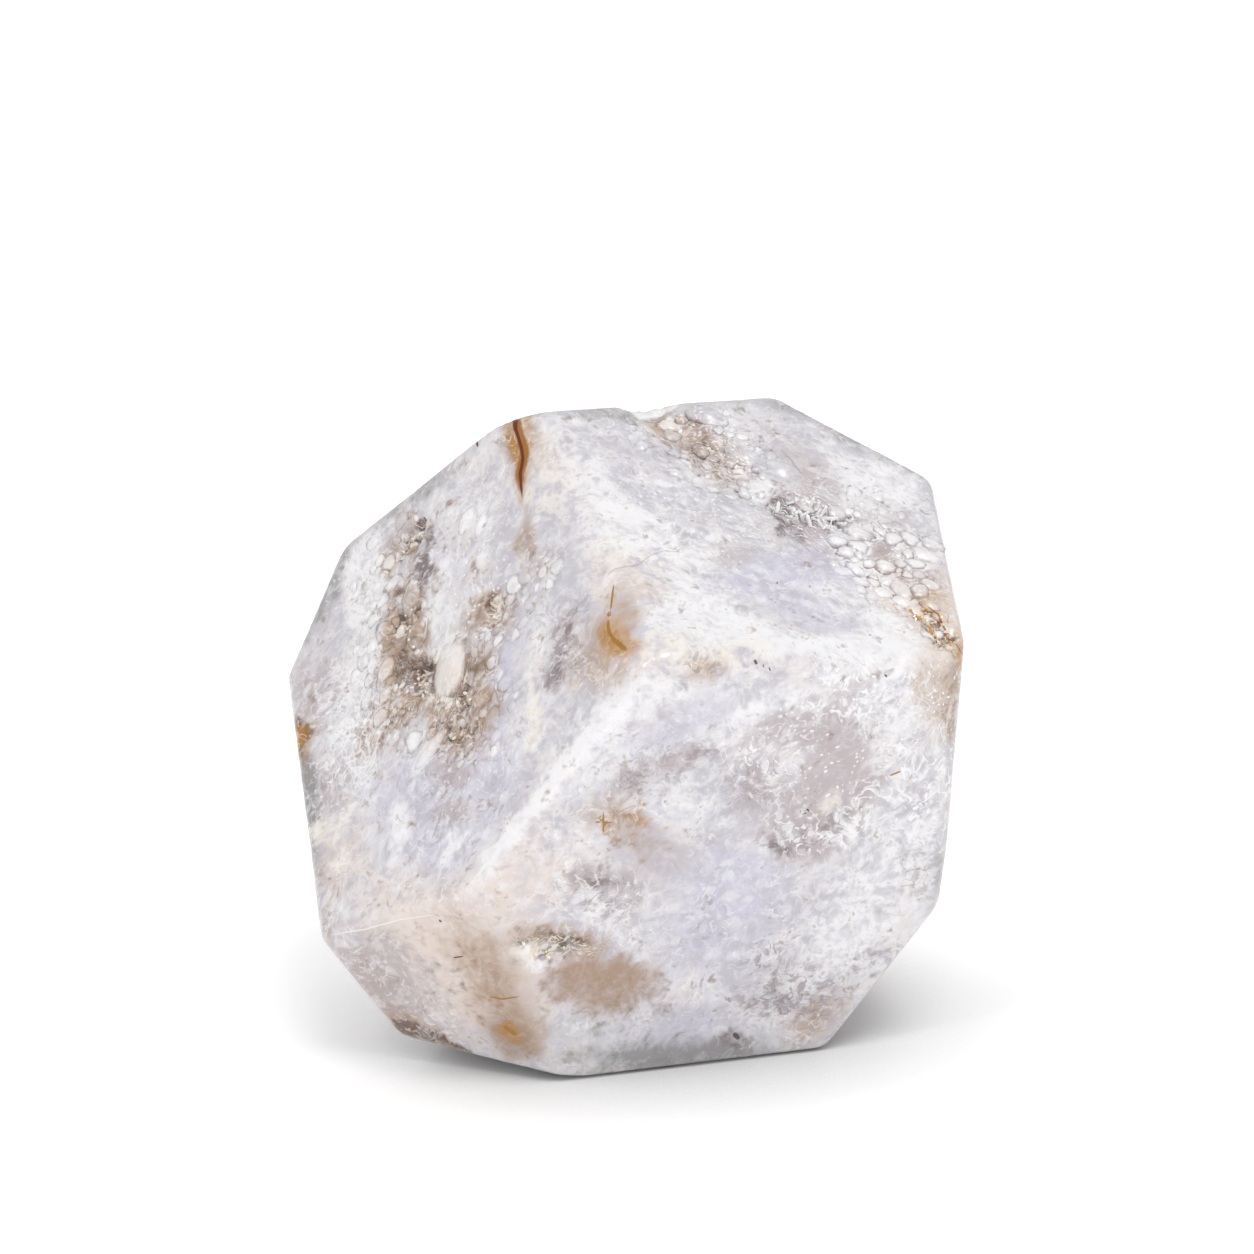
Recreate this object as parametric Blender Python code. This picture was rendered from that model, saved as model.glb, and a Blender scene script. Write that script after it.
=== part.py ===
"""A freeform block of flower agate, cut and polished by hand to many flat faces.

The stone is one solid. Planes at chosen bearings cut its faces, its edges are
rubbed round, and it stands on a flat underside. The wheel did not reach the
natural hollows, so they keep their rounded chalcedony lumps, and the deeper
pockets in them are lined with short six-sided quartz crystals.

Units are metres, +Z is up, and -Y is the front. The origin is on the table,
under the heart of the stone.
"""

import math
import random
from dataclasses import dataclass

import bmesh
import bpy
from mathutils import Matrix, Vector, noise

MM = 0.001

NODE_NAME = "flower_agate"

# The stone's heart is the point that every face is measured from
HEART_HEIGHT = 24.0 * MM
BLANK_SIDE = 120.0 * MM

# Edges are rubbed round on the polishing wheel
EDGE_ROUND = 1.0 * MM
EDGE_STEPS = 3
EDGE_ANGLE = math.radians(8.0)

# Lumps and crystals end a little below the polished face
POLISH_CLEARANCE = 0.08 * MM
ROOT_DEPTH = 0.9 * MM
GOLDEN_ANGLE = math.radians(137.508)


@dataclass(frozen=True)
class Face:
    """One polished face.

    bearing is in degrees round +Z, with 0 to the front and 90 to the right.
    rise is in degrees above level. reach is the distance from the heart.
    """

    name: str
    bearing: float
    rise: float
    reach: float


@dataclass(frozen=True)
class Hollow:
    """One natural hollow in a face.

    bearing and rise aim from the heart at its middle. turn is the angle of its
    long axis in the face, from level. roof tells how gently its rim slopes.
    """

    name: str
    face: str
    bearing: float
    rise: float
    length: float
    width: float
    depth: float
    turn: float
    roof: float
    filling: int


FACES = (
    Face("left", -50, 30, 17.8 * MM),
    Face("front", 20, -12, 20.3 * MM),
    Face("top", 35, 61, 20.4 * MM),
    Face("crest", -22, 53, 21.5 * MM),
    Face("lower_left", -24, -25, 27.2 * MM),
    Face("left_under", -110, -31, 21.5 * MM),
    Face("back_left", -112, 16, 26.4 * MM),
    Face("shoulder", -140, 47, 23.2 * MM),
    Face("back_top", -155, 62, 24.1 * MM),
    Face("back_right", 157, 9, 19.3 * MM),
    Face("right_back", 97, -4, 24.4 * MM),
    Face("right", 53, -3, 27.4 * MM),
    Face("lower_right", 100, -37, 25.6 * MM),
    Face("under_left", -63, -79, 25.6 * MM),
    Face("back", -169, 4, 20.8 * MM),
    Face("under_back", -165, -46, 25.5 * MM),
    Face("back_low_right", 139, -28, 25.2 * MM),
    Face("base", 0, -90, HEART_HEIGHT),
)

# Wide shallow dishes, with the number of chalcedony lumps in each
DISHES = (
    Hollow("left_dish", "left", -61, 20, 18 * MM, 8.5 * MM, 0.7 * MM, -36, 1.2, 12),
    Hollow("left_low_dish", "left", -84, 8, 9 * MM, 6 * MM, 0.5 * MM, 60, 1.5, 5),
    Hollow("trough_high", "top", 140, 77, 11 * MM, 6.5 * MM, 1.2 * MM, -77, 1.5, 3),
    Hollow("trough_middle", "top", 93, 70, 11 * MM, 7.5 * MM, 0.9 * MM, -70, 1.5, 6),
    Hollow("trough_low", "top", 69, 43, 10 * MM, 5.5 * MM, 0.6 * MM, -60, 1.5, 4),
    Hollow("right_corner_dish", "top", 69, 30, 8 * MM, 5 * MM, 0.6 * MM, -80, 1.5, 4),
    Hollow("back_dish", "back", -152, 7, 13 * MM, 7 * MM, 0.7 * MM, 35, 1.2, 7),
    Hollow("right_dish", "right_back", 97, 14, 10 * MM, 6 * MM, 0.6 * MM, 70, 1.2, 4),
    Hollow("shoulder_dish", "shoulder", -141, 43, 9 * MM, 5.5 * MM, 0.6 * MM, 15, 1.2, 4),
)

# Deeper pockets, with the number of quartz crystals in each
POCKETS = (
    Hollow("dark_pocket", "left", -64, 18.6, 4.4 * MM, 3.2 * MM, 2.2 * MM, 4, 0.3, 8),
    Hollow("ring_pocket", "left", -79.6, 27, 4.8 * MM, 3.0 * MM, 1.5 * MM, -58, 0.3, 5),
    Hollow("low_pocket", "left", -44, 9, 4.0 * MM, 2.8 * MM, 1.6 * MM, 21, 0.3, 5),
    Hollow("side_pocket", "left", -46, 17.3, 3.0 * MM, 2.2 * MM, 1.3 * MM, 2, 0.3, 3),
    Hollow("upper_pocket", "left", -95, 41, 3.6 * MM, 2.0 * MM, 1.3 * MM, 82, 0.3, 4),
    Hollow("ridge_pocket", "left", -46.3, 39.6, 3.0 * MM, 2.6 * MM, 1.3 * MM, 11, 0.3, 4),
    Hollow("front_pocket", "front", -13.6, -28.7, 5.4 * MM, 2.5 * MM, 1.5 * MM, -12, 0.3, 7),
    Hollow("top_pocket", "top", 83, 49, 6.6 * MM, 3.4 * MM, 1.5 * MM, -44, 0.4, 8),
    Hollow("corner_pocket", "top", 66, 22, 5.0 * MM, 3.0 * MM, 1.4 * MM, -90, 0.4, 6),
    Hollow("back_pocket", "back", -148, 9, 4.6 * MM, 3.2 * MM, 1.8 * MM, 30, 0.3, 6),
    Hollow("right_pocket", "right_back", 98, 16, 4.0 * MM, 2.6 * MM, 1.5 * MM, 70, 0.3, 4),
    Hollow("shoulder_pocket", "shoulder", -138, 42, 3.6 * MM, 2.4 * MM, 1.4 * MM, 10, 0.3, 4),
)


def direction(bearing, rise):
    """Return the unit vector at a bearing and rise, both in degrees."""
    turn = math.radians(bearing)
    lift = math.radians(rise)
    return Vector((math.sin(turn) * math.cos(lift), -math.cos(turn) * math.cos(lift), math.sin(lift)))


def face_named(name):
    """Return the polished face that has this name."""
    return next(face for face in FACES if face.name == name)


def hollow_frame(hollow):
    """Return the matrix of a hollow: X along its length, Z out of the face, origin in the face."""
    face = face_named(hollow.face)
    normal = direction(face.bearing, face.rise)
    aim = direction(hollow.bearing, hollow.rise)
    middle = Vector((0.0, 0.0, HEART_HEIGHT)) + aim * (face.reach / aim.dot(normal))
    level = Vector((0.0, 0.0, 1.0)).cross(normal).normalized()
    along = Matrix.Rotation(math.radians(hollow.turn), 3, normal) @ level
    across = normal.cross(along)
    axes = Matrix((along, across, normal)).transposed().to_4x4()
    return Matrix.Translation(middle) @ axes


def floor_depth(hollow, x, y):
    """Return how far a hollow's floor lies below the face, at x and y in its own frame."""
    height = hollow.depth * (1.0 + hollow.roof)
    spread = 1.0 / math.sqrt(1.0 - (hollow.roof / (1.0 + hollow.roof)) ** 2)
    across = (2.0 * x / (hollow.length * spread)) ** 2 + (2.0 * y / (hollow.width * spread)) ** 2
    return height * math.sqrt(max(0.0, 1.0 - across)) - hollow.depth * hollow.roof


def add_hollow(mesh, hollow, detail, ragged):
    """Add the closed lumpy form that cuts a hollow to a bmesh."""
    height = hollow.depth * (1.0 + hollow.roof)
    spread = 1.0 / math.sqrt(1.0 - (hollow.roof / (1.0 + hollow.roof)) ** 2)
    made = bmesh.ops.create_icosphere(mesh, subdivisions=detail, radius=1.0)
    place = hollow_frame(hollow)
    seed_shift = place.translation * 900.0
    for vertex in made["verts"]:
        ball = vertex.co.copy()
        swell = 1.0 + ragged * noise.noise(ball * 1.9 + seed_shift)
        local = Vector((
            ball.x * swell * hollow.length * 0.5 * spread,
            ball.y * swell * hollow.width * 0.5 * spread,
            ball.z * height + hollow.depth * hollow.roof,
        ))
        vertex.co = place @ local


def spots_in(hollow, count, rng, fill):
    """Yield places spread evenly in a hollow, as x, y and the floor's depth there."""
    for index in range(count):
        ring = math.sqrt((index + 0.5) / count) * fill
        angle = index * GOLDEN_ANGLE + rng.uniform(-0.35, 0.35)
        x = ring * math.cos(angle) * hollow.length * 0.5
        y = ring * math.sin(angle) * hollow.width * 0.5
        yield x, y, floor_depth(hollow, x, y)


def add_lump(mesh, place, rng, x, y, depth):
    """Add one rounded chalcedony lump that stands on a dish's floor."""
    radius = rng.uniform(0.75, 1.25) * MM
    top = POLISH_CLEARANCE + depth * rng.uniform(0.0, 0.45)
    height = radius * rng.uniform(0.75, 1.0)
    stretch = rng.uniform(1.0, 1.6)
    made = bmesh.ops.create_icosphere(mesh, subdivisions=2, radius=1.0)
    shape = (
        Matrix.Translation((x, y, -top - height))
        @ Matrix.Rotation(rng.uniform(0.0, math.pi), 4, "Z")
        @ Matrix.Diagonal((radius * stretch, radius, height, 1.0))
    )
    bmesh.ops.transform(mesh, matrix=place @ shape, verts=made["verts"])


def add_crystal(mesh, place, rng, x, y, depth, lean_limit):
    """Add one six-sided crystal with a pointed end, rooted below a pocket's floor."""
    radius = rng.uniform(0.30, 0.46) * MM
    tip_depth = POLISH_CLEARANCE + depth * rng.uniform(0.05, 0.45)
    shaft = depth - tip_depth + ROOT_DEPTH
    made = bmesh.ops.create_cone(
        mesh, cap_ends=True, segments=6, radius1=radius, radius2=radius, depth=shaft
    )
    crown = max(made["verts"], key=lambda vertex: vertex.co.z).co.z
    lid = next(
        face for face in {face for vertex in made["verts"] for face in vertex.link_faces}
        if all(abs(vertex.co.z - crown) < 1e-7 for vertex in face.verts)
    )
    shaft_verts = list(made["verts"])
    poked = bmesh.ops.poke(mesh, faces=[lid])
    apex = poked["verts"][0]
    apex.co.x += radius * rng.uniform(-0.3, 0.3)
    apex.co.z += radius * rng.uniform(0.7, 1.1)
    lean_axis = Vector((math.cos(rng.uniform(0.0, math.tau)), math.sin(rng.uniform(0.0, math.tau)), 0.0))
    lean = Matrix.Rotation(rng.uniform(0.0, lean_limit), 4, lean_axis.normalized())
    spin = Matrix.Rotation(rng.uniform(0.0, math.pi / 3.0), 4, "Z")
    lower = Matrix.Translation((0.0, 0.0, -shaft * 0.5 - radius))
    stand = Matrix.Translation((x, y, -tip_depth)) @ lean @ spin @ lower
    bmesh.ops.transform(mesh, matrix=place @ stand, verts=shaft_verts + [apex])


def trim_to_faces(mesh):
    """Cut off all that would stand above the polished faces, as the wheel did."""
    heart = Vector((0.0, 0.0, HEART_HEIGHT))
    for face in FACES:
        normal = direction(face.bearing, face.rise)
        cut = bmesh.ops.bisect_plane(
            mesh,
            geom=mesh.verts[:] + mesh.edges[:] + mesh.faces[:],
            dist=1e-8,
            plane_co=heart + normal * (face.reach - POLISH_CLEARANCE),
            plane_no=normal,
            clear_outer=True,
        )
        rims = [item for item in cut["geom_cut"] if isinstance(item, bmesh.types.BMEdge)]
        if rims:
            bmesh.ops.holes_fill(mesh, edges=rims, sides=0)


def finish_object(name, mesh, guide):
    """Turn a bmesh into an object of the scene. A guide only shapes the stone and isn't rendered."""
    bmesh.ops.recalc_face_normals(mesh, faces=mesh.faces)
    data = bpy.data.meshes.new(name)
    mesh.to_mesh(data)
    mesh.free()
    thing = bpy.data.objects.new(name, data)
    bpy.context.scene.collection.objects.link(thing)
    if guide:
        thing.hide_render = True
        thing.display_type = "WIRE"
    return thing


def build_blank():
    """Cut the block: a cube trimmed by the plane of every polished face."""
    mesh = bmesh.new()
    bmesh.ops.create_cube(mesh, size=BLANK_SIDE)
    heart = Vector((0.0, 0.0, HEART_HEIGHT))
    for face in FACES:
        normal = direction(face.bearing, face.rise)
        cut = bmesh.ops.bisect_plane(
            mesh,
            geom=mesh.verts[:] + mesh.edges[:] + mesh.faces[:],
            dist=1e-7,
            plane_co=heart + normal * face.reach,
            plane_no=normal,
            clear_outer=True,
        )
        rim = [item for item in cut["geom_cut"] if isinstance(item, bmesh.types.BMEdge)]
        bmesh.ops.contextual_create(mesh, geom=rim)
    return finish_object(NODE_NAME, mesh, guide=False)


def build_dish_cutter():
    """Make the forms that sink every wide dish into its face."""
    mesh = bmesh.new()
    for dish in DISHES:
        add_hollow(mesh, dish, detail=3, ragged=0.30)
    return finish_object("dish_cutter", mesh, guide=True)


def build_lumps():
    """Make the chalcedony lumps that stand in the dishes."""
    mesh = bmesh.new()
    rng = random.Random(11)
    for dish in DISHES:
        place = hollow_frame(dish)
        for x, y, depth in spots_in(dish, dish.filling, rng, fill=0.86):
            add_lump(mesh, place, rng, x, y, max(depth, 0.3 * MM))
    trim_to_faces(mesh)
    return finish_object("lumps", mesh, guide=True)


def build_pocket_cutter():
    """Make the forms that sink every crystal pocket."""
    mesh = bmesh.new()
    for pocket in POCKETS:
        add_hollow(mesh, pocket, detail=3, ragged=0.32)
    return finish_object("pocket_cutter", mesh, guide=True)


def build_crystals():
    """Make the quartz crystals that line the pockets."""
    mesh = bmesh.new()
    rng = random.Random(29)
    for pocket in POCKETS:
        place = hollow_frame(pocket)
        for x, y, depth in spots_in(pocket, pocket.filling, rng, fill=0.80):
            add_crystal(mesh, place, rng, x, y, depth, lean_limit=math.radians(28.0))
    trim_to_faces(mesh)
    return finish_object("crystals", mesh, guide=True)


def add_boolean(stone, name, tool, operation):
    """Join a guide to the stone with an exact Boolean modifier."""
    step = stone.modifiers.new(name, "BOOLEAN")
    step.operation = operation
    step.object = tool
    step.solver = "EXACT"
    step.use_self = True


def stone_material():
    """Return the stone's finish: pale glossy chalcedony."""
    material = bpy.data.materials.new("polished_agate")
    material.use_nodes = True
    surface = material.node_tree.nodes["Principled BSDF"]
    surface.inputs["Base Color"].default_value = (0.68, 0.63, 0.64, 1.0)
    surface.inputs["Roughness"].default_value = 0.22
    surface.inputs["Metallic"].default_value = 0.0
    return material


def build_stone():
    """Cut the block, round its edges, sink its hollows and grow what lines them."""
    stone = build_blank()
    rounding = stone.modifiers.new("rubbed_edges", "BEVEL")
    rounding.width = EDGE_ROUND
    rounding.segments = EDGE_STEPS
    rounding.limit_method = "ANGLE"
    rounding.angle_limit = EDGE_ANGLE
    add_boolean(stone, "dishes", build_dish_cutter(), "DIFFERENCE")
    add_boolean(stone, "lumps", build_lumps(), "UNION")
    add_boolean(stone, "pockets", build_pocket_cutter(), "DIFFERENCE")
    add_boolean(stone, "crystals", build_crystals(), "UNION")
    stone.data.materials.append(stone_material())
    return stone


def main():
    """Clear the scene and model the stone."""
    for thing in list(bpy.data.objects):
        bpy.data.objects.remove(thing)
    build_stone()


if __name__ == "__main__":
    main()
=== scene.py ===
"""Looks of a flower agate freeform, a hand-polished block of milky chalcedony.

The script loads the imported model, replaces its coarse stone by a finely
modelled one of the same size, lines its pockets with quartz crystals, and
dresses both. Then it sets up a plain pale studio and the camera.

Lengths are in metres unless a description says otherwise, +Z is up and -Y is the
front.
"""

from __future__ import annotations

import logging
import math
import random
from dataclasses import dataclass, field
from enum import Enum

import bpy
import numpy as np
from mathutils import Matrix, Vector, noise

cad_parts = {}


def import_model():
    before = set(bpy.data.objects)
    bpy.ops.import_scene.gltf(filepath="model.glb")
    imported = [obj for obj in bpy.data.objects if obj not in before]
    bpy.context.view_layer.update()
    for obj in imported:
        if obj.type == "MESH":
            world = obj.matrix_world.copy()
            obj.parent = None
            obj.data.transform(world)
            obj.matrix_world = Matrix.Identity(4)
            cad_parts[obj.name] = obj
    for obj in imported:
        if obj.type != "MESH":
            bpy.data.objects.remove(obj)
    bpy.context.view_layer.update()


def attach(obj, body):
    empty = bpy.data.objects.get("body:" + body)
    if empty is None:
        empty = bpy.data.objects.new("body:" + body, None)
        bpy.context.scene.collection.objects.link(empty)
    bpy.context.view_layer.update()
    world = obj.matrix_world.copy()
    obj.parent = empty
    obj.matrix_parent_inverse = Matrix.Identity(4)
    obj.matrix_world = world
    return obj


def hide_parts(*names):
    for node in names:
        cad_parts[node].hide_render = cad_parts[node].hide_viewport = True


LOG = logging.getLogger("flower_agate")
MM = 0.001
STONE_NODE = "flower_agate"
UP = Vector((0.0, 0.0, 1.0))
PURE_WHITE = (1.0, 1.0, 1.0, 1.0)
# Cosines of a surface's slant to the camera between which it comes into the photograph's view.
FACING_FADE = (-0.05, 0.12)
QUARTZ_IOR = 1.54
DRUSE_SEED = 17
Colour = tuple[float, float, float]
Socket = bpy.types.NodeSocket


class Tint(Enum):
    """A colour patch's kind. The value is the name of the mesh attribute that holds it."""

    WHITE = "tint_white"
    CREAM = "tint_cream"
    LAVENDER = "tint_lavender"
    MAUVE = "tint_mauve"
    GREY_AND_SHADE = "tint_grey_and_shade"
    SMOKE = "tint_smoke"
    PEACH = "tint_peach"
    TAN = "tint_tan"
    BROWN = "tint_brown"
    RUST = "tint_rust"


class Grain(Enum):
    """A fine structure's kind. The value is the name of the mesh attribute that holds it."""

    PEBBLES = "grain_pebbles"
    LACE = "grain_lace"
    CURLS = "grain_curls"
    NEEDLES_AND_GLINTS = "grain_needles_and_glints"
    SPECKS = "grain_specks"
    DOTS = "grain_dots_and_glints"
    CALM = "grain_calm"


class Trace(Enum):
    """A thin line's kind. The value is the name of the mesh attribute that holds it."""

    RUST_CORE = "trace_rust_core"
    RUST_EDGE = "trace_rust_edge"
    GOLD = "trace_gold"
    HAIRLINE = "trace_hairline"
    LIT_RIDGE = "trace_lit_ridge"
    PIT = "trace_pit"


@dataclass(frozen=True)
class Face:
    """One polished face of the block.

    Attributes:
        name: What the face is called.
        bearing: Degrees round +Z, with 0 to the front and 90 to the right.
        rise: Degrees above level.
        reach: Distance from the stone's heart.
        flow: Degrees of its streaks from level, in the face.
    """

    name: str
    bearing: float
    rise: float
    reach: float
    flow: float = 90.0

    def normal(self) -> Vector:
        """Return the unit vector out of the face."""
        return aim(self.bearing, self.rise)

    def along(self, turn: float) -> Vector:
        """Return the unit vector in the face that is turned by degrees from level."""
        normal = self.normal()
        level = UP.cross(normal) if abs(normal.z) < 0.999 else Vector((1.0, 0.0, 0.0))
        return Matrix.Rotation(math.radians(turn), 3, normal) @ level.normalized()


@dataclass(frozen=True)
class Hollow:
    """One natural hollow in a face.

    Attributes:
        name: What the hollow is called.
        face: Name of the face that it lies in.
        bearing: Degrees round +Z from the heart to its middle.
        rise: Degrees above level from the heart to its middle.
        length: Its longer extent.
        width: Its shorter extent.
        depth: Its depth below the face.
        turn: Degrees of its long axis from level, in the face.
        ragged: How far its outline strays, as a share of its size.
    """

    name: str
    face: str
    bearing: float
    rise: float
    length: float
    width: float
    depth: float
    turn: float
    ragged: float = 0.3


@dataclass(frozen=True)
class Patch:
    """One patch of colour or grain, placed where the photograph shows it.

    Attributes:
        x: Its middle in the photograph, in pixels from the left.
        y: Its middle in the photograph, in pixels from the top.
        length: Its longer extent as seen, in millimetres.
        width: Its shorter extent as seen, in millimetres.
        turn: Degrees of its long axis, counter-clockwise from level.
        strength: How strong it is, with 1 for full. Above 1 it keeps its strength nearer to its rim.
        soft: How wide its rim fades, as a share of its size.
    """

    x: float
    y: float
    length: float
    width: float
    turn: float
    strength: float
    soft: float


@dataclass(frozen=True)
class Spread:
    """How a tint or grain is strewn over the sides that the photograph doesn't show.

    Attributes:
        size: Size of its patches, in millimetres.
        low: Value of the noise at which it starts.
        high: Value of the noise at which it is full.
        strength: Its strength there.
    """

    size: float
    low: float
    high: float
    strength: float


@dataclass(frozen=True)
class Line:
    """One thin line, such as a vein, a crack or a painted highlight along a ridge.

    Attributes:
        course: Its points in the photograph, in pixels.
        width: Its width at its widest, in millimetres.
    """

    course: tuple[tuple[float, float], ...]
    width: float


@dataclass(frozen=True)
class Pebble:
    """One large rounded pebble of the botryoidal skin.

    Attributes:
        x: Its middle in the photograph, in pixels from the left.
        y: Its middle in the photograph, in pixels from the top.
        length: Its longer extent, in millimetres.
        width: Its shorter extent, in millimetres.
        turn: Degrees of its long axis from the flow of its face.
        tone: How white it is, from 0 to 1.
    """

    x: float
    y: float
    length: float
    width: float
    turn: float
    tone: float


def aim(bearing: float, rise: float) -> Vector:
    """Return the unit vector at a bearing and a rise.

    Args:
        bearing: Degrees round +Z, 0 to the front and 90 to the right.
        rise: Degrees above level.

    Returns:
        The unit vector.
    """
    turn = math.radians(bearing)
    lift = math.radians(rise)
    return Vector((math.sin(turn) * math.cos(lift), -math.cos(turn) * math.cos(lift), math.sin(lift)))


def fade(low: float, high: float, value: np.ndarray) -> np.ndarray:
    """Return a smooth step from 0 at low to 1 at high.

    Args:
        low: Where the step starts.
        high: Where the step ends. It may be below low.
        value: The values to map.

    Returns:
        The mapped values.
    """
    share = np.clip((value - low) / (high - low), 0.0, 1.0)
    return share * share * (3.0 - 2.0 * share)


def cloud(points: np.ndarray, size: float, shift: float = 0.0, octaves: int = 2) -> np.ndarray:
    """Return smooth noise at points.

    Args:
        points: Places, one row each.
        size: Size of the noise's features.
        shift: Moves the pattern, to get another one.
        octaves: How many finer layers are added.

    Returns:
        Values from about -1 to 1.
    """
    spots = points / size + np.array((shift, -shift * 0.7, shift * 1.3))
    return np.array([noise.fractal(spot, 1.0, 2.0, octaves) for spot in spots.tolist()])


def clouds(points: np.ndarray, size: float, shift: float, octaves: int = 2) -> np.ndarray:
    """Return three independent smooth noises at points, one row each."""
    layers = [cloud(points, size, shift + 31.0 * index, octaves) for index in range(3)]
    return np.stack(layers, axis=1)


HEART = Vector((0.0, 0.0, 24.0 * MM))

FACES = (
    Face("left", -50, 30, 17.8 * MM, 90),
    Face("front", 20, -12, 20.3 * MM, 8),
    Face("top", 35, 61, 20.4 * MM, -50),
    Face("crest", -22, 53, 21.5 * MM, 88),
    Face("lower_left", -24, -25, 27.2 * MM, -30),
    Face("left_under", -110, -31, 21.5 * MM, 80),
    Face("back_left", -112, 16, 26.4 * MM, 75),
    Face("shoulder", -140, 47, 23.2 * MM, 60),
    Face("back_top", -155, 62, 24.1 * MM, 40),
    Face("back_right", 157, 9, 19.3 * MM, 20),
    Face("right_back", 97, -4, 24.4 * MM, 75),
    Face("right", 53, -3, 27.4 * MM, 80),
    Face("lower_right", 100, -37, 25.6 * MM, 30),
    Face("under_left", -63, -79, 25.6 * MM, 0),
    Face("back", -169, 4, 20.8 * MM, 50),
    Face("under_back", -165, -46, 25.5 * MM, 10),
    Face("back_low_right", 139, -28, 25.2 * MM, -30),
    Face("base", 0, -90, HEART.z, 0),
)

DISHES = (
    Hollow("left_dish", "left", -61, 20, 18 * MM, 8.5 * MM, 0.55 * MM, -36),
    Hollow("left_low_dish", "left", -84, 8, 9 * MM, 6 * MM, 0.4 * MM, 60),
    Hollow("trough_high", "top", 140, 77, 11 * MM, 6.5 * MM, 1.2 * MM, -77, 0.2),
    Hollow("trough_middle", "top", 93, 70, 11 * MM, 7.5 * MM, 0.8 * MM, -70),
    Hollow("trough_low", "top", 69, 43, 10 * MM, 5.5 * MM, 0.5 * MM, -60),
    Hollow("right_corner_dish", "top", 69, 30, 8 * MM, 5 * MM, 0.5 * MM, -80),
    Hollow("back_dish", "back", -152, 7, 13 * MM, 7 * MM, 0.6 * MM, 35),
    Hollow("right_dish", "right_back", 97, 14, 10 * MM, 6 * MM, 0.5 * MM, 70),
    Hollow("shoulder_dish", "shoulder", -141, 43, 9 * MM, 5.5 * MM, 0.5 * MM, 15),
)

POCKETS = (
    Hollow("dark_pocket", "left", -64, 18.6, 4.4 * MM, 3.2 * MM, 0.9 * MM, 4, 0.6),
    Hollow("ring_pocket", "left", -79.6, 27, 4.8 * MM, 3.0 * MM, 0.45 * MM, -58, 0.6),
    Hollow("low_pocket", "left", -44, 9, 4.0 * MM, 2.8 * MM, 0.5 * MM, 21, 0.6),
    Hollow("side_pocket", "left", -46, 17.3, 3.0 * MM, 2.2 * MM, 0.45 * MM, 2, 0.6),
    Hollow("upper_pocket", "left", -95, 41, 3.6 * MM, 2.0 * MM, 0.5 * MM, 82, 0.6),
    Hollow("ridge_pocket", "left", -46.3, 39.6, 2.6 * MM, 2.2 * MM, 0.4 * MM, 11, 0.6),
    Hollow("front_pocket", "front", -14.3, -28.6, 6.0 * MM, 2.3 * MM, 0.6 * MM, -11, 0.5),
    Hollow("top_pocket", "top", 83, 49, 6.6 * MM, 3.4 * MM, 0.5 * MM, -44, 0.7),
    Hollow("corner_pocket", "top", 66, 22, 5.0 * MM, 3.0 * MM, 0.6 * MM, -90, 0.6),
    Hollow("back_pocket", "back", -148, 9, 4.6 * MM, 3.2 * MM, 1.3 * MM, 30, 0.6),
    Hollow("right_pocket", "right_back", 98, 16, 4.0 * MM, 2.6 * MM, 1.0 * MM, 70, 0.6),
    Hollow("shoulder_pocket", "shoulder", -138, 42, 3.6 * MM, 2.4 * MM, 1.0 * MM, 10, 0.6),
)

SPREADS = {
    Tint.WHITE: Spread(6.0, 0.0, 0.45, 0.8),
    Tint.CREAM: Spread(2.5, 0.30, 0.6, 0.7),
    Tint.LAVENDER: Spread(8.0, -0.1, 0.35, 0.8),
    Tint.MAUVE: Spread(7.0, 0.05, 0.50, 0.6),
    Tint.GREY_AND_SHADE: Spread(7.0, 0.30, 0.7, 0.4),
    Tint.SMOKE: Spread(4.0, 0.42, 0.7, 0.4),
    Tint.PEACH: Spread(8.0, 0.0, 0.4, 0.7),
    Tint.TAN: Spread(8.0, 0.25, 0.65, 0.75),
    Tint.BROWN: Spread(6.0, 0.45, 0.75, 0.5),
    Tint.RUST: Spread(3.0, 0.62, 0.85, 0.8),
    Grain.PEBBLES: Spread(7.0, 0.05, 0.35, 1.0),
    Grain.LACE: Spread(7.0, 0.2, 0.55, 0.6),
    Grain.CURLS: Spread(6.0, 0.0, 0.35, 0.9),
    Grain.NEEDLES_AND_GLINTS: Spread(5.0, 0.2, 0.5, 0.9),
    Grain.SPECKS: Spread(5.0, 0.15, 0.45, 0.8),
    Grain.DOTS: Spread(5.0, 0.15, 0.45, 0.8),
    Grain.CALM: Spread(7.0, 0.1, 0.4, 0.9),
}

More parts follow.
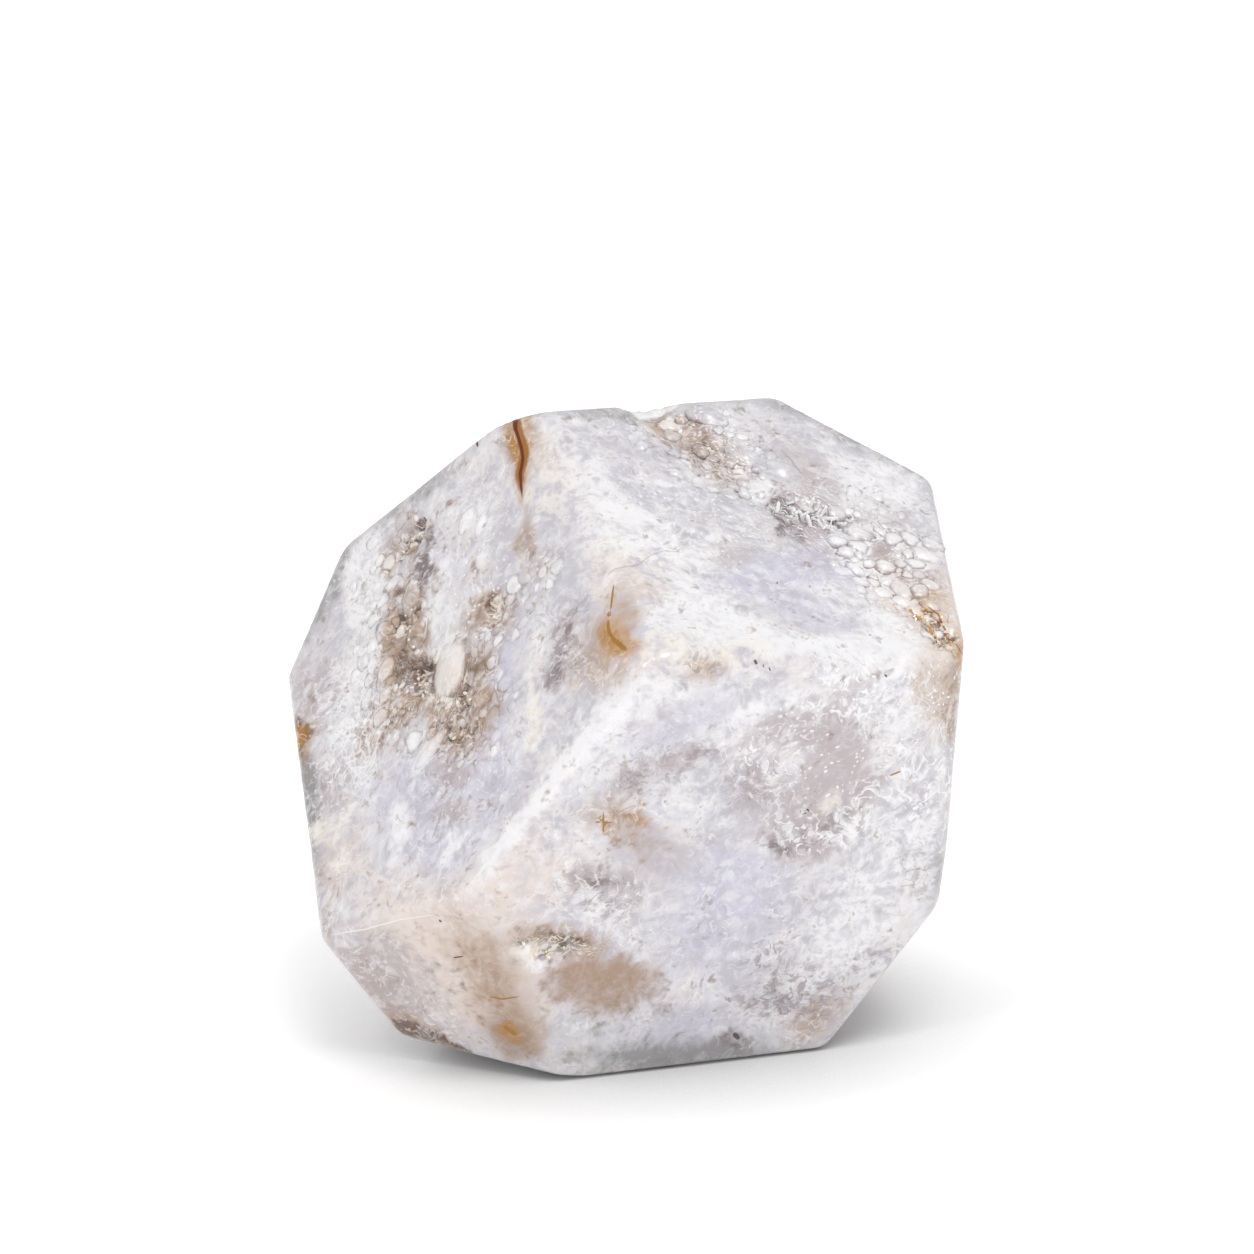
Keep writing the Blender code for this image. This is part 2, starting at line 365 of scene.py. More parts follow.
PATCH_ROWS: dict[Tint | Grain, tuple[tuple[float, ...], ...]] = {
    Tint.WHITE: (
        (872, 515, 9, 5, -50, 0.6, 0.9), (905, 480, 5, 3, -40, 0.6, 0.9),
        (720, 555, 5.4, 3, 0, 0.6, 0.9), (375, 592, 5.4, 3.4, 70, 0.8, 0.8),
        (440, 600, 4.6, 2, 70, 0.7, 0.8), (447, 666, 4.4, 2.2, 80, 1.9, 0.6),
        (476, 612, 3, 2, 60, 0.9, 0.9), (780, 488, 3, 1.6, 0, 0.8, 0.9),
        (625, 513, 5.4, 1.4, -22, 1, 0.7), (655, 521, 5, 1.1, -16, 0.6, 0.8),
        (658, 481, 2.6, 0.9, -14, 0.9, 0.9), (590, 480, 10, 4, -50, 0.6, 0.9),
        (650, 545, 9, 2.6, -12, 0.7, 0.9), (700, 600, 6, 3, -24, 0.8, 0.9),
        # Painted highlight: (800, 646), (720, 625) and (888, 652) light the ridge between the top and the
        # front.
        (800, 646, 13, 2, -3, 0.9, 0.9), (720, 625, 8, 2.6, -14, 0.8, 0.9),
        (660, 618, 4.4, 3, -20, 0.6, 0.9), (888, 652, 6, 3.4, -12, 1, 0.7),
        (866, 560, 4.2, 2.2, -30, 1.2, 0.9), (884, 622, 4.6, 2.4, -30, 0.8, 0.8),
        (870, 480, 5, 3.4, -30, 0.6, 0.9), (752, 488, 5, 1.6, -20, 0.5, 0.9),
        (830, 595, 5, 1.6, -20, 0.5, 0.9), (478, 522, 3.6, 2.6, 80, 0.7, 0.8),
        (483, 556, 1.8, 1, 70, 0.8, 0.8), (432, 622, 3.6, 2.2, 75, 0.95, 0.7),
        (372, 598, 5, 3, 60, 0.8, 0.8), (352, 560, 5, 2.4, 50, 0.9, 0.9),
        (440, 575, 4, 1.6, 60, 0.8, 0.9), (350, 700, 9, 3.4, 80, 0.6, 0.9),
        (400, 825, 3.6, 1.6, 85, 1, 0.8), (398, 850, 3, 1.6, 70, 0.7, 0.8),
        (430, 745, 4.4, 2.4, 80, 0.6, 0.9), (453, 850, 3.4, 1.6, 60, 0.9, 0.9),
        # Painted highlight: (600, 727), (545, 795) and (500, 850) light the ridge between the left face and
        # the front.
        (366, 775, 4, 2.4, 70, 0.5, 0.9), (600, 727, 9, 2.6, 48, 0.8, 0.9),
        (545, 795, 12, 1.3, 51, 1, 0.9), (500, 850, 7, 1.2, 52, 1, 0.9),
        (540, 640, 3, 1.6, 70, 0.6, 0.9), (770, 697, 6, 2, 6, 0.5, 0.9),
        (870, 690, 7, 4.4, 0, 0.6, 0.9), (900, 745, 8, 4, 70, 0.25, 0.9),
        (856, 824, 3.4, 1.6, 35, 0.7, 0.8), (890, 850, 9, 5, 60, 0.5, 0.9),
        (850, 935, 9, 6, 30, 0.6, 0.9), (660, 690, 8, 3, 20, 0.6, 0.9),
        (700, 800, 6, 3, 0, 0.4, 0.9), (590, 915, 7, 3, 0, 0.4, 0.9),
        # Painted glints: (540, 960) and (534, 963) brighten the front pocket's lower rim.
        (540, 960, 3, 1.4, 0, 0.9, 0.8), (534, 963, 1.7, 1.5, 0, 0.9, 0.6),
        (350, 915, 4, 1.6, 10, 0.5, 0.9), (757, 713, 4.4, 1.6, 12, 0.9, 0.9),
    ),
    Tint.CREAM: (
        (690, 652, 13, 3.4, 0, 0.7, 0.9), (938, 622, 5.4, 3.4, -60, 0.8, 0.9),
        # Painted glints: (548, 951) brightens the front pocket's lower rim.
        (548, 951, 4.6, 1, 4, 1.2, 0.9), (533, 684, 3, 1.4, 80, 0.5, 0.9),
        (534, 722, 4.6, 1.3, 86, 0.8, 0.8), (345, 820, 3.8, 1.6, 68, 0.6, 0.8),
        (340, 862, 2.4, 1.4, 60, 0.7, 0.8), (319, 832, 2.6, 2, 60, 0.7, 0.8),
        (834, 803, 2.4, 1.8, 0, 0.55, 0.9), (780, 780, 2.6, 1.8, 0, 0.6, 0.9),
        (626, 560, 6, 3, -10, 0.5, 0.9), (540, 484, 7, 4, 80, 0.5, 0.9),
    ),
    Tint.LAVENDER: (
        (680, 1030, 12, 4.4, 2, 0.6, 0.9), (836, 560, 7, 4, 0, 0.85, 0.9),
        (690, 722, 10, 4, 20, 0.55, 0.9), (740, 895, 10, 7, 30, 0.68, 0.9),
        (690, 950, 9, 5, 0, 0.4, 0.9), (720, 870, 7, 3, 10, 0.4, 0.9),
        (765, 572, 9, 2.6, 8, 0.7, 0.8), (800, 606, 9, 3, -24, 0.65, 0.9),
        (405, 795, 9, 6, 0, 0.6, 0.9), (498, 690, 14, 2.8, 76, 0.75, 0.8),
        (440, 590, 9, 2.2, 78, 0.55, 0.8), (440, 850, 8, 5, 0, 0.55, 0.9),
        (500, 780, 8, 4, 60, 0.5, 0.9), (630, 470, 8, 3, -20, 0.35, 0.9),
        (440, 760, 5, 3, 30, 0.4, 0.9),
    ),
    Tint.MAUVE: (
        (602, 981, 8.8, 5, 0, 0.9, 0.5), (834, 770, 8.4, 5, 66, 0.85, 0.4),
        (800, 728, 9, 3, 8, 0.75, 0.6), (868, 785, 4, 3, 20, 0.65, 0.6),
        (752, 785, 4.8, 4, 40, 0.6, 0.8), (800, 815, 7.6, 4.4, 15, 0.75, 0.8),
        (850, 695, 6, 2.4, 40, 0.5, 0.7), (646, 772, 7.6, 2, 24, 0.8, 0.8),
        (692, 755, 3, 1.8, 30, 0.7, 0.8), (650, 850, 7, 4.4, -20, 0.65, 0.9),
        (600, 880, 5.4, 2.2, -5, 0.95, 0.8), (630, 905, 4.4, 2, -60, 0.5, 0.8),
        (567, 625, 3.8, 2, 60, 0.7, 0.7), (561, 668, 4, 1.8, 65, 0.65, 0.7),
        (420, 562, 4.4, 2, 80, 1.1, 0.7), (384, 700, 9, 3.8, 70, 0.45, 0.8),
        (330, 790, 5, 3.4, 75, 0.75, 0.9), (312, 820, 7, 2.2, 100, 0.4, 0.9),
        (452, 772, 3.6, 2, -20, 0.75, 0.8), (455, 812, 2.8, 2.2, 0, 0.8, 0.8),
        (472, 640, 4.6, 2.4, 60, 0.45, 0.8), (540, 572, 5.4, 2.8, 45, 0.5, 0.8),
        (312, 692, 7, 3.4, 85, 0.7, 0.9), (780, 508, 3.4, 2.2, 100, 0.7, 0.7),
        (812, 517, 6.6, 2.6, -12, 0.85, 0.7), (838, 548, 7, 1.4, -24, 0.35, 0.8),
        (822, 562, 5, 2, 20, 0.3, 0.7), (734, 556, 4, 2.4, 10, 0.6, 0.6),
        (900, 560, 8.4, 4.4, -55, 1.1, 0.8), (786, 452, 8, 2.6, -35, 0.5, 0.9),
        (378, 985, 10, 7, -50, 0.8, 0.9), (642, 1004, 6, 2.4, 0, 0.5, 0.9),
        (502, 632, 6, 1.8, 66, 0.6, 0.9), (812, 852, 5.4, 2, 4, 0.9, 0.9),
        (815, 490, 5, 3.4, -20, 0.6, 0.8), (400, 980, 14, 8, -40, 0.25, 0.9),
        (430, 660, 26, 14, 80, 0.24, 0.9),
    ),
    Tint.GREY_AND_SHADE: (
        # Painted shade: most of these darken the rims along the outline and the stone's foot towards the
        # base.
        (775, 965, 4.4, 3, 0, 0.3, 0.9), (790, 1000, 5.4, 2.8, 0, 0.4, 0.9),
        (735, 1040, 3.4, 2.2, 0, 0.3, 0.8), (680, 1056, 15, 2.4, 3, 1, 0.8),
        (850, 990, 8, 3, 50, 0.25, 0.9), (318, 600, 10, 2.4, 62, 0.85, 0.9),
        (384, 509, 10, 2, 36, 0.5, 0.9), (424, 490, 6, 2.2, 38, 0.5, 0.8),
        (304, 792, 9, 2.4, 98, 1.1, 0.8), (322, 900, 8, 1.4, 105, 0.4, 0.9),
        (620, 411, 11, 1.8, 2, 0.6, 0.9), (766, 401, 13, 2, -6, 0.5, 0.9),
        (870, 447, 12, 1.8, -27, 0.6, 0.9), (959, 720, 14, 1.7, 90, 0.7, 0.9),
        (944, 860, 10, 1.6, 80, 0.6, 0.9), (616, 1024, 15, 6.4, 3, 0.42, 0.9),
    ),
    Tint.SMOKE: (
        (779, 514, 3, 1.4, 100, 1.3, 0.7), (793, 530, 2.6, 0.9, -20, 0.55, 0.7),
        (812, 512, 3.4, 1.2, -12, 0.6, 0.8), (424, 562, 3.6, 1.4, 75, 1.3, 0.8),
        (815, 824, 3.4, 1.2, -10, 0.45, 0.9), (790, 847, 4.4, 0.8, -4, 0.85, 0.8),
        (694, 748, 2.4, 1.2, 30, 0.55, 0.9), (642, 778, 2.6, 1.2, 30, 0.75, 0.9),
        (566, 638, 4.4, 1.1, 70, 0.4, 0.9), (557, 668, 2.8, 1.1, 70, 0.75, 0.9),
        (606, 882, 2.8, 1.2, -10, 0.8, 0.9), (775, 999, 4, 1.8, 0, 0.55, 0.9),
        (736, 1040, 2.2, 1.5, 0, 0.7, 0.8), (297, 740, 3, 1.2, 80, 1.3, 0.9),
    ),
    Tint.PEACH: (
        (520, 830, 14, 3, 52, 0.35, 0.8), (612, 560, 6, 4, 60, 0.5, 0.9),
        (556, 465, 7, 3.6, -55, 0.55, 0.9), (620, 672, 9, 3.4, 10, 0.5, 0.9),
        (660, 595, 4, 2.4, -20, 0.4, 0.9), (460, 908, 10, 4.4, 14, 0.5, 0.9),
        (430, 960, 14, 9, -40, 0.85, 0.9), (520, 965, 10, 8, -20, 0.6, 0.9),
        (550, 870, 9, 5, 20, 0.5, 0.9), (926, 612, 9, 5, -60, 2.1, 0.9),
        (936, 690, 7, 4, 85, 0.7, 0.9), (940, 636, 6, 3.4, -65, 0.8, 0.9),
        (345, 850, 7, 3.4, 70, 0.5, 0.9), (640, 590, 5, 4, 0, 0.4, 0.9),
    ),
    Tint.TAN: (
        (402, 630, 7.8, 3, 80, 1, 0.5), (424, 684, 6.8, 4.4, -20, 1.1, 0.5),
        (464, 710, 6, 4.2, 20, 0.9, 0.5), (474, 676, 4.4, 2.4, 60, 0.7, 0.5),
        (388, 718, 6.4, 2.4, 60, 0.75, 0.8), (458, 742, 4.4, 2.8, 0, 0.6, 0.8),
        (410, 534, 4, 2.4, 62, 0.35, 0.5), (390, 562, 2.8, 1.6, 62, 0.5, 0.5),
        (497, 607, 3.2, 2.8, 0, 0.75, 0.5), (466, 642, 5.4, 2.4, 66, 0.4, 0.9),
        (534, 575, 3.6, 1.6, 50, 0.35, 0.9), (526, 520, 3.6, 1.3, 84, 0.4, 0.9),
        (527, 540, 2.8, 1.7, 60, 0.6, 0.8), (548, 455, 4, 2.2, -45, 0.2, 0.8),
        (620, 612, 7, 3, 74, 0.5, 0.9), (704, 666, 4.4, 2.2, 10, 0.7, 0.8),
        (935, 692, 5.4, 3.4, -65, 0.5, 0.5), (948, 722, 3, 2, 80, 0.4, 0.8),
        (672, 420, 6, 2.2, -35, 0.7, 0.8), (705, 447, 8, 3.4, -35, 0.5, 0.8),
        (738, 470, 4.4, 2, -25, 0.3, 0.8), (456, 938, 6, 4, -45, 0.3, 0.9),
        (482, 966, 6.5, 3.4, -62, 0.42, 0.9), (503, 1004, 6, 4.6, -60, 0.6, 0.9),
        (520, 1036, 4.6, 3.6, -20, 0.8, 0.7), (602, 983, 8.6, 4.8, 0, 0.66, 0.45),
        (608, 968, 7, 2, 2, 0.3, 0.4), (562, 940, 6.4, 2.4, -4, 0.85, 0.7),
        (634, 828, 5.6, 3.6, -40, 0.45, 0.9), (606, 812, 5, 3.2, 10, 0.45, 0.9),
        (814, 1019, 6, 3, 28, 0.6, 0.8), (380, 1000, 9, 4, -48, 0.35, 0.9),
        (420, 1036, 7, 2.6, -22, 0.6, 0.8), (304, 742, 3.8, 2.2, 80, 0.7, 0.9),
        (322, 870, 9, 2, 100, 0.3, 0.9), (600, 656, 6.4, 5, 50, 0.6, 0.9),
        (905, 582, 7, 2.8, -45, 0.4, 0.8), (942, 630, 5, 3.4, -65, 0.45, 0.9),
        (957, 690, 8, 2.4, 88, 0.5, 0.9), (508, 956, 6, 4, -60, 0.36, 0.9),
        (420, 640, 26, 14, 80, 0.22, 0.9), (521, 438, 7.4, 2.4, 95, 0.95, 0.9),
    ),
    Tint.BROWN: (
        (518, 424, 3.8, 1.2, 100, 2.2, 0.7), (403, 604, 2.8, 1.8, 80, 0.95, 0.5),
        (404, 640, 3, 1.8, 60, 0.65, 0.5), (420, 674, 4.2, 2.8, -10, 1.5, 0.5),
        (455, 703, 3.8, 1.6, -30, 0.65, 0.5), (474, 674, 3.4, 1.5, 60, 0.6, 0.5),
        (499, 607, 2.4, 2.1, 0, 0.9, 0.5), (386, 728, 3, 1, 55, 0.8, 0.5),
        (690, 452, 5, 0.8, -38, 0.4, 0.5), (562, 937, 4.6, 1, -8, 0.75, 0.5),
        # Painted shade in part: the patch at (430, 1045) darkens the underside of the lower left edge.
        (430, 1045, 6.4, 1.8, -22, 3.2, 0.5), (300, 738, 2.8, 1.3, 70, 1.2, 0.8),
    ),
    Tint.RUST: (
        (519, 428, 4.6, 1.5, 98, 1.8, 0.7), (522, 462, 6, 1.4, 90, 0.65, 0.8),
        (299, 739, 2.6, 1.2, 70, 0.9, 0.8), (932, 604, 3.8, 2.2, -40, 0.55, 0.9),
        (955, 640, 3.2, 0.9, -70, 0.6, 0.8), (961, 665, 3, 0.8, 90, 0.6, 0.8),
        (512, 1031, 2, 1.5, -30, 0.8, 0.9), (642, 818, 2.6, 1.7, -30, 0.62, 0.9),
        (602, 824, 2.4, 2.2, 0, 0.45, 0.9), (619, 641, 3, 2, -50, 1.35, 0.9),
        (611, 645, 4.4, 3, 60, 0.20, 0.9), (623, 614, 6, 1.8, 75, 0.26, 0.9),
        (492, 1000, 3.6, 1, 0, 0.3, 0.9), (702, 663, 3.4, 1.4, 5, 0.42, 0.9),
    ),
    Grain.PEBBLES: (
        (390, 600, 12, 4, 78, 0.8, 0.7), (402, 686, 8, 5, 70, 0.9, 0.7),
        (495, 628, 7, 2.8, 62, 0.8, 0.7), (462, 712, 7.4, 5.4, 30, 0.9, 0.7),
        (530, 577, 4.4, 2.2, 40, 0.7, 0.7), (702, 443, 12, 4.6, -33, 1, 0.6),
        (890, 560, 10, 5.4, -50, 0.8, 0.8),
    ),
    Grain.LACE: (
        (352, 712, 10, 3.6, 82, 1, 0.7), (372, 765, 5, 3.4, 60, 0.5, 0.8),
        (895, 710, 8, 6, 0, 0.6, 0.7),
    ),
    Grain.CURLS: (
        (355, 730, 12, 5, 80, 0.5, 0.5), (862, 690, 10, 5, 0, 0.8, 0.5),
        (785, 760, 9, 5, 0, 0.6, 0.5), (905, 780, 8, 9, 90, 0.6, 0.5),
        (820, 830, 8, 4, 0, 0.7, 0.5), (640, 540, 10, 4, -20, 0.3, 0.5),
        (600, 890, 8, 5, -20, 0.2, 0.5),
    ),
    Grain.NEEDLES_AND_GLINTS: (
        (812, 512, 9, 4.4, -12, 1, 0.5), (720, 450, 6, 3.4, -25, 0.8, 0.5),
        (745, 535, 3, 3, 60, 0.7, 0.5), (640, 500, 9, 3, -15, 0.4, 0.5),
        (430, 700, 8, 6, 0, 0.6, 0.5), (557, 947, 6, 1.8, 0, 1, 0.5),
    ),
    Grain.SPECKS: (
        (796, 838, 7, 2.4, 0, 0.8, 0.5), (835, 826, 5, 3, 20, 0.8, 0.5),
        (600, 890, 6, 4, -15, 0.6, 0.5), (785, 995, 8, 4.4, 0, 1, 0.5),
        (765, 958, 3.4, 3, 0, 0.8, 0.5), (735, 1045, 4, 2, 0, 0.9, 0.5),
        (567, 645, 8, 2.6, 70, 0.7, 0.5), (665, 765, 8, 3, 20, 0.7, 0.5),
        (755, 780, 5, 4, 20, 0.6, 0.5), (704, 665, 3.6, 1.8, 0, 0.9, 0.5),
        (875, 960, 6, 2.6, 20, 0.5, 0.5), (925, 870, 4, 4, 0, 0.5, 0.5),
        (440, 800, 3, 6, 0, 0.4, 0.5),
    ),
    Grain.DOTS: (
        (935, 698, 6, 4.4, 90, 1, 0.5), (835, 765, 9, 5, 72, 1, 0.5),
        (800, 720, 9, 4, 8, 0.7, 0.5), (880, 560, 9, 7, -40, 0.9, 0.5),
        (690, 520, 16, 6, -20, 0.7, 0.5), (470, 580, 12, 7, 70, 0.8, 0.5),
        (720, 420, 12, 3, -10, 0.6, 0.5), (480, 760, 9, 6, 40, 0.5, 0.5),
        (790, 920, 8, 4, 0, 0.5, 0.5),
    ),
    Grain.CALM: (
        (602, 982, 9, 5.4, 0, 1, 0.5), (834, 764, 8, 5.2, 66, 0.95, 0.5),
        (505, 1015, 8, 7, -50, 0.9, 0.5), (555, 780, 18, 3, 50, 0.8, 0.5),
        (480, 960, 14, 7, -20, 0.7, 0.5), (614, 625, 7, 4, 70, 0.9, 0.5),
        (790, 642, 13, 3, 0, 0.8, 0.5), (650, 850, 7, 4.4, -20, 0.8, 0.5),
        (505, 690, 14, 2.4, 76, 0.7, 0.5), (625, 515, 6, 2, -20, 0.8, 0.5),
        (640, 1048, 15, 3.6, 3, 0.7, 0.5), (570, 520, 10, 4, -60, 0.6, 0.5),
    ),
}

LINES: dict[Trace, tuple[Line, ...]] = {
    Trace.RUST_CORE: (
        Line(((518, 417), (516, 427), (521, 445), (523.5, 458), (521, 475), (522.5, 497)), 0.28),
        Line(((516, 416), (515.5, 426), (518, 434)), 0.46),
        Line(((477, 440), (478, 446)), 0.2),
        Line(((454, 957), (463, 956)), 0.12),
    ),
    Trace.RUST_EDGE: (
        Line(((516, 416), (518, 428), (522, 441), (525, 455), (521, 472), (521, 488)), 0.8),
        Line(((422, 1044), (437, 1050), (452, 1055)), 0.3),
        Line(((927, 606), (938, 614), (944, 628), (955, 638), (962, 655)), 0.18),
    ),
    Trace.GOLD: (
        Line(((614, 586), (612.5, 598), (611, 610)), 0.17),
        Line(((608.7, 622), (609, 630), (612, 637), (617, 641)), 0.32),
        Line(((614, 640), (620, 645), (625, 649)), 0.46),
        Line(((490, 996), (503, 998.5), (519, 996)), 0.14),
        Line(((603, 812), (603, 832)), 0.16),
        Line(((595, 822), (611, 822)), 0.14),
        Line(((890, 775), (900, 771)), 0.16),
        Line(((506, 1027), (515, 1033)), 0.4),
    ),
    Trace.HAIRLINE: (
        # Painted shade: these two trace the edge of a slight bump as a thin dark line.
        Line(((607, 577), (614, 570), (626, 567), (637, 566)), 0.12),
        Line(((637, 566), (650, 556), (664, 551), (682, 553)), 0.10),
        Line(((772, 496), (776, 510), (780, 522), (786, 532)), 0.34),
        Line(((786, 532), (800, 536), (812, 548)), 0.2),
        Line(((780, 450), (790, 460), (802, 474)), 0.16),
        Line(((433, 838), (438, 825), (442, 812)), 0.18),
        Line(((905, 872), (917, 868), (930, 871)), 0.14),
        Line(((900, 886), (915, 884)), 0.12),
        Line(((378, 935), (384, 930)), 0.12),
        Line(((570, 940), (590, 935)), 0.16),
    ),
    # Painted highlight: thin pale lines along the ridges round the left face.
    Trace.LIT_RIDGE: (
        Line(((471, 884), (480, 873), (490, 861)), 0.2),
        Line(((437, 914), (402, 919), (365, 929), (330, 935)), 0.12),
        Line(((490, 861), (512, 838), (531, 815)), 0.12),
        Line(((540, 806), (571, 768), (598, 735)), 0.12),
    ),
    Trace.PIT: (
        Line(((755, 661), (756, 663)), 0.24),
        Line(((769, 668), (770, 670)), 0.14),
        Line(((801, 811), (802, 813)), 0.22),
        Line(((807, 809), (808, 810)), 0.18),
        Line(((885, 675), (886, 676)), 0.18),
        Line(((328, 578), (328, 584)), 0.4),
        Line(((440, 920), (441, 921)), 0.16),
        Line(((735, 1034), (737, 1037)), 0.4),
        Line(((414, 539), (420, 542)), 0.28),
        Line(((424, 518), (425, 521)), 0.22),
        Line(((777, 583), (777, 584)), 0.12),
    ),
}

PEBBLES = (
    Pebble(447, 668, 4.6, 3.8, 8, 0.95),
    Pebble(388, 669, 1.9, 1.5, 0, 0.9),
    Pebble(372, 664, 1.4, 1.0, 0, 0.9),
    Pebble(412, 632, 2.2, 1.7, 0, 0.45),
    Pebble(384, 694, 1.6, 0.9, 10, 0.8),
    Pebble(378, 735, 2.2, 0.9, -10, 0.9),
    Pebble(410, 598, 2.4, 1.6, 0, 0.8),
    Pebble(482, 695, 2.2, 1.6, -30, 0.3),
    Pebble(490, 722, 2.4, 1.6, 20, 0.3),
    Pebble(428, 752, 3.4, 1.2, -15, 0.8),
    Pebble(465, 520, 2.0, 1.2, 0, 0.9),
    Pebble(481, 523, 1.8, 0.9, 10, 0.9),
    Pebble(886, 565, 1.6, 1.2, 0, 0.9),
    Pebble(903, 597, 1.6, 1.1, 0, 0.95),
    Pebble(925, 555, 2.2, 1.4, 0, 0.8),
    Pebble(930, 585, 1.4, 1.1, 0, 0.9),
    Pebble(705, 414, 2.6, 1.6, 0, 0.35),
    Pebble(695, 430, 2.2, 1.3, 0, 0.4),
    Pebble(676, 438, 1.6, 1.0, 0, 0.4),
    Pebble(745, 455, 2.6, 1.6, 10, 0.5),
    Pebble(783, 468, 2.4, 1.6, 0, 0.5),
    Pebble(700, 478, 1.8, 1.3, 0, 0.6),
)


@dataclass(frozen=True)
class PictureView:
    """Where the photograph was taken from, and how its pixels fall on the stone.

    Attributes:
        rise: Degrees by which the camera looks down.
        distance: From the camera to the point it aims at.
        target: The point that it aims at.
        pixel: What one pixel spans at that point.
        frame_pixels: Width and height of the photograph.
        sensor_mm: Width of the camera's sensor.
    """

    rise: float = 14.0
    distance: float = 0.400
    target: tuple[float, float, float] = (0.3 * MM, 0.0, 32.0 * MM)
    pixel: float = 0.08 * MM
    frame_pixels: int = 1254
    sensor_mm: float = 36.0

    def axes(self) -> tuple[Vector, Vector, Vector]:
        """Return the unit vectors to the picture's right, to its top and back to the camera."""
        back = aim(0.0, self.rise)
        right = Vector((1.0, 0.0, 0.0))
        return right, back.cross(right), back

    def position(self) -> Vector:
        """Return where the camera stands."""
        return Vector(self.target) + self.axes()[2] * self.distance

    def lens_mm(self) -> float:
        """Return the focal length that gives the photograph's frame."""
        return self.sensor_mm * self.distance / (self.pixel * self.frame_pixels)

    def to_pixels(self, points: np.ndarray) -> np.ndarray:
        """Find where points fall in the photograph.

        Args:
            points: Places, one row each.

        Returns:
            One row of x and y in pixels for each point.
        """
        right, up, back = (np.array(axis) for axis in self.axes())
        off = points - np.array(self.position())
        scale = self.distance / self.pixel / (-(off @ back))
        middle = self.frame_pixels / 2.0
        return np.stack([middle + (off @ right) * scale, middle - (off @ up) * scale], axis=1)

    def place_camera(self) -> None:
        """Add the camera and make it the scene's own."""
        data = bpy.data.cameras.new("view_camera")
        data.sensor_width = self.sensor_mm
        data.lens = self.lens_mm()
        data.clip_start = 0.01
        data.clip_end = 20.0
        camera = bpy.data.objects.new("view_camera", data)
        bpy.context.scene.collection.objects.link(camera)
        turn = Matrix(self.axes()).transposed().to_4x4()
        camera.matrix_world = Matrix.Translation(self.position()) @ turn
        bpy.context.scene.camera = camera


def deselect_all() -> None:
    """Leave object mode and deselect everything."""
    if bpy.context.object and bpy.context.object.mode != "OBJECT":
        bpy.ops.object.mode_set(mode="OBJECT")
    bpy.ops.object.select_all(action="DESELECT")


def make_active(thing: bpy.types.Object) -> None:
    """Select one object alone and make it active."""
    deselect_all()
    thing.select_set(True)
    bpy.context.view_layer.objects.active = thing


def apply_modifier(thing: bpy.types.Object, kind: str, **settings: object) -> None:
    """Add a modifier to an object and apply it at once.

    Args:
        thing: The object.
        kind: The modifier's type.
        **settings: Its settings.
    """
    make_active(thing)
    step = thing.modifiers.new(kind.lower(), kind)
    for name, value in settings.items():
        setattr(step, name, value)
    bpy.ops.object.modifier_apply(modifier=step.name)


def join_pieces(pieces: list[bpy.types.Object], name: str) -> bpy.types.Object:
    """Join objects into one.

    Args:
        pieces: The objects.
        name: The name that the whole gets.

    Returns:
        The whole.
    """
    deselect_all()
    for piece in pieces:
        piece.select_set(True)
    bpy.context.view_layer.objects.active = pieces[0]
    bpy.ops.object.join()
    whole = bpy.context.active_object
    whole.name = name
    whole.data.name = name
    return whole


def copy_piece(model: bpy.types.Object) -> bpy.types.Object:
    """Add a copy of an object, with its own mesh, to the scene.

    Args:
        model: The object.

    Returns:
        The copy.
    """
    piece = model.copy()
    piece.data = model.data.copy()
    bpy.context.scene.collection.objects.link(piece)
    return piece


def cut_away(place: Vector, out: Vector, threshold: float) -> None:
    """Cut off what lies beyond a plane and close the cut, in edit mode.

    Args:
        place: A point on the plane.
        out: The direction in which all is cut off.
        threshold: How near to the plane a point may lie and count as on it.
    """
    bpy.ops.mesh.select_all(action="SELECT")
    bpy.ops.mesh.bisect(plane_co=place, plane_no=out, use_fill=True, clear_outer=True, threshold=threshold)


def read_mesh(mesh: bpy.types.Mesh) -> tuple[np.ndarray, np.ndarray]:
    """Read a mesh's points.

    Args:
        mesh: The mesh.

    Returns:
        Their places and the surface's normals there, one row each.
    """
    places = np.empty(len(mesh.vertices) * 3)
    mesh.vertices.foreach_get("co", places)
    normals = np.empty(len(mesh.vertices) * 3, dtype=np.float32)
    mesh.vertex_normals.foreach_get("vector", normals)
    return places.reshape(-1, 3), normals.reshape(-1, 3)


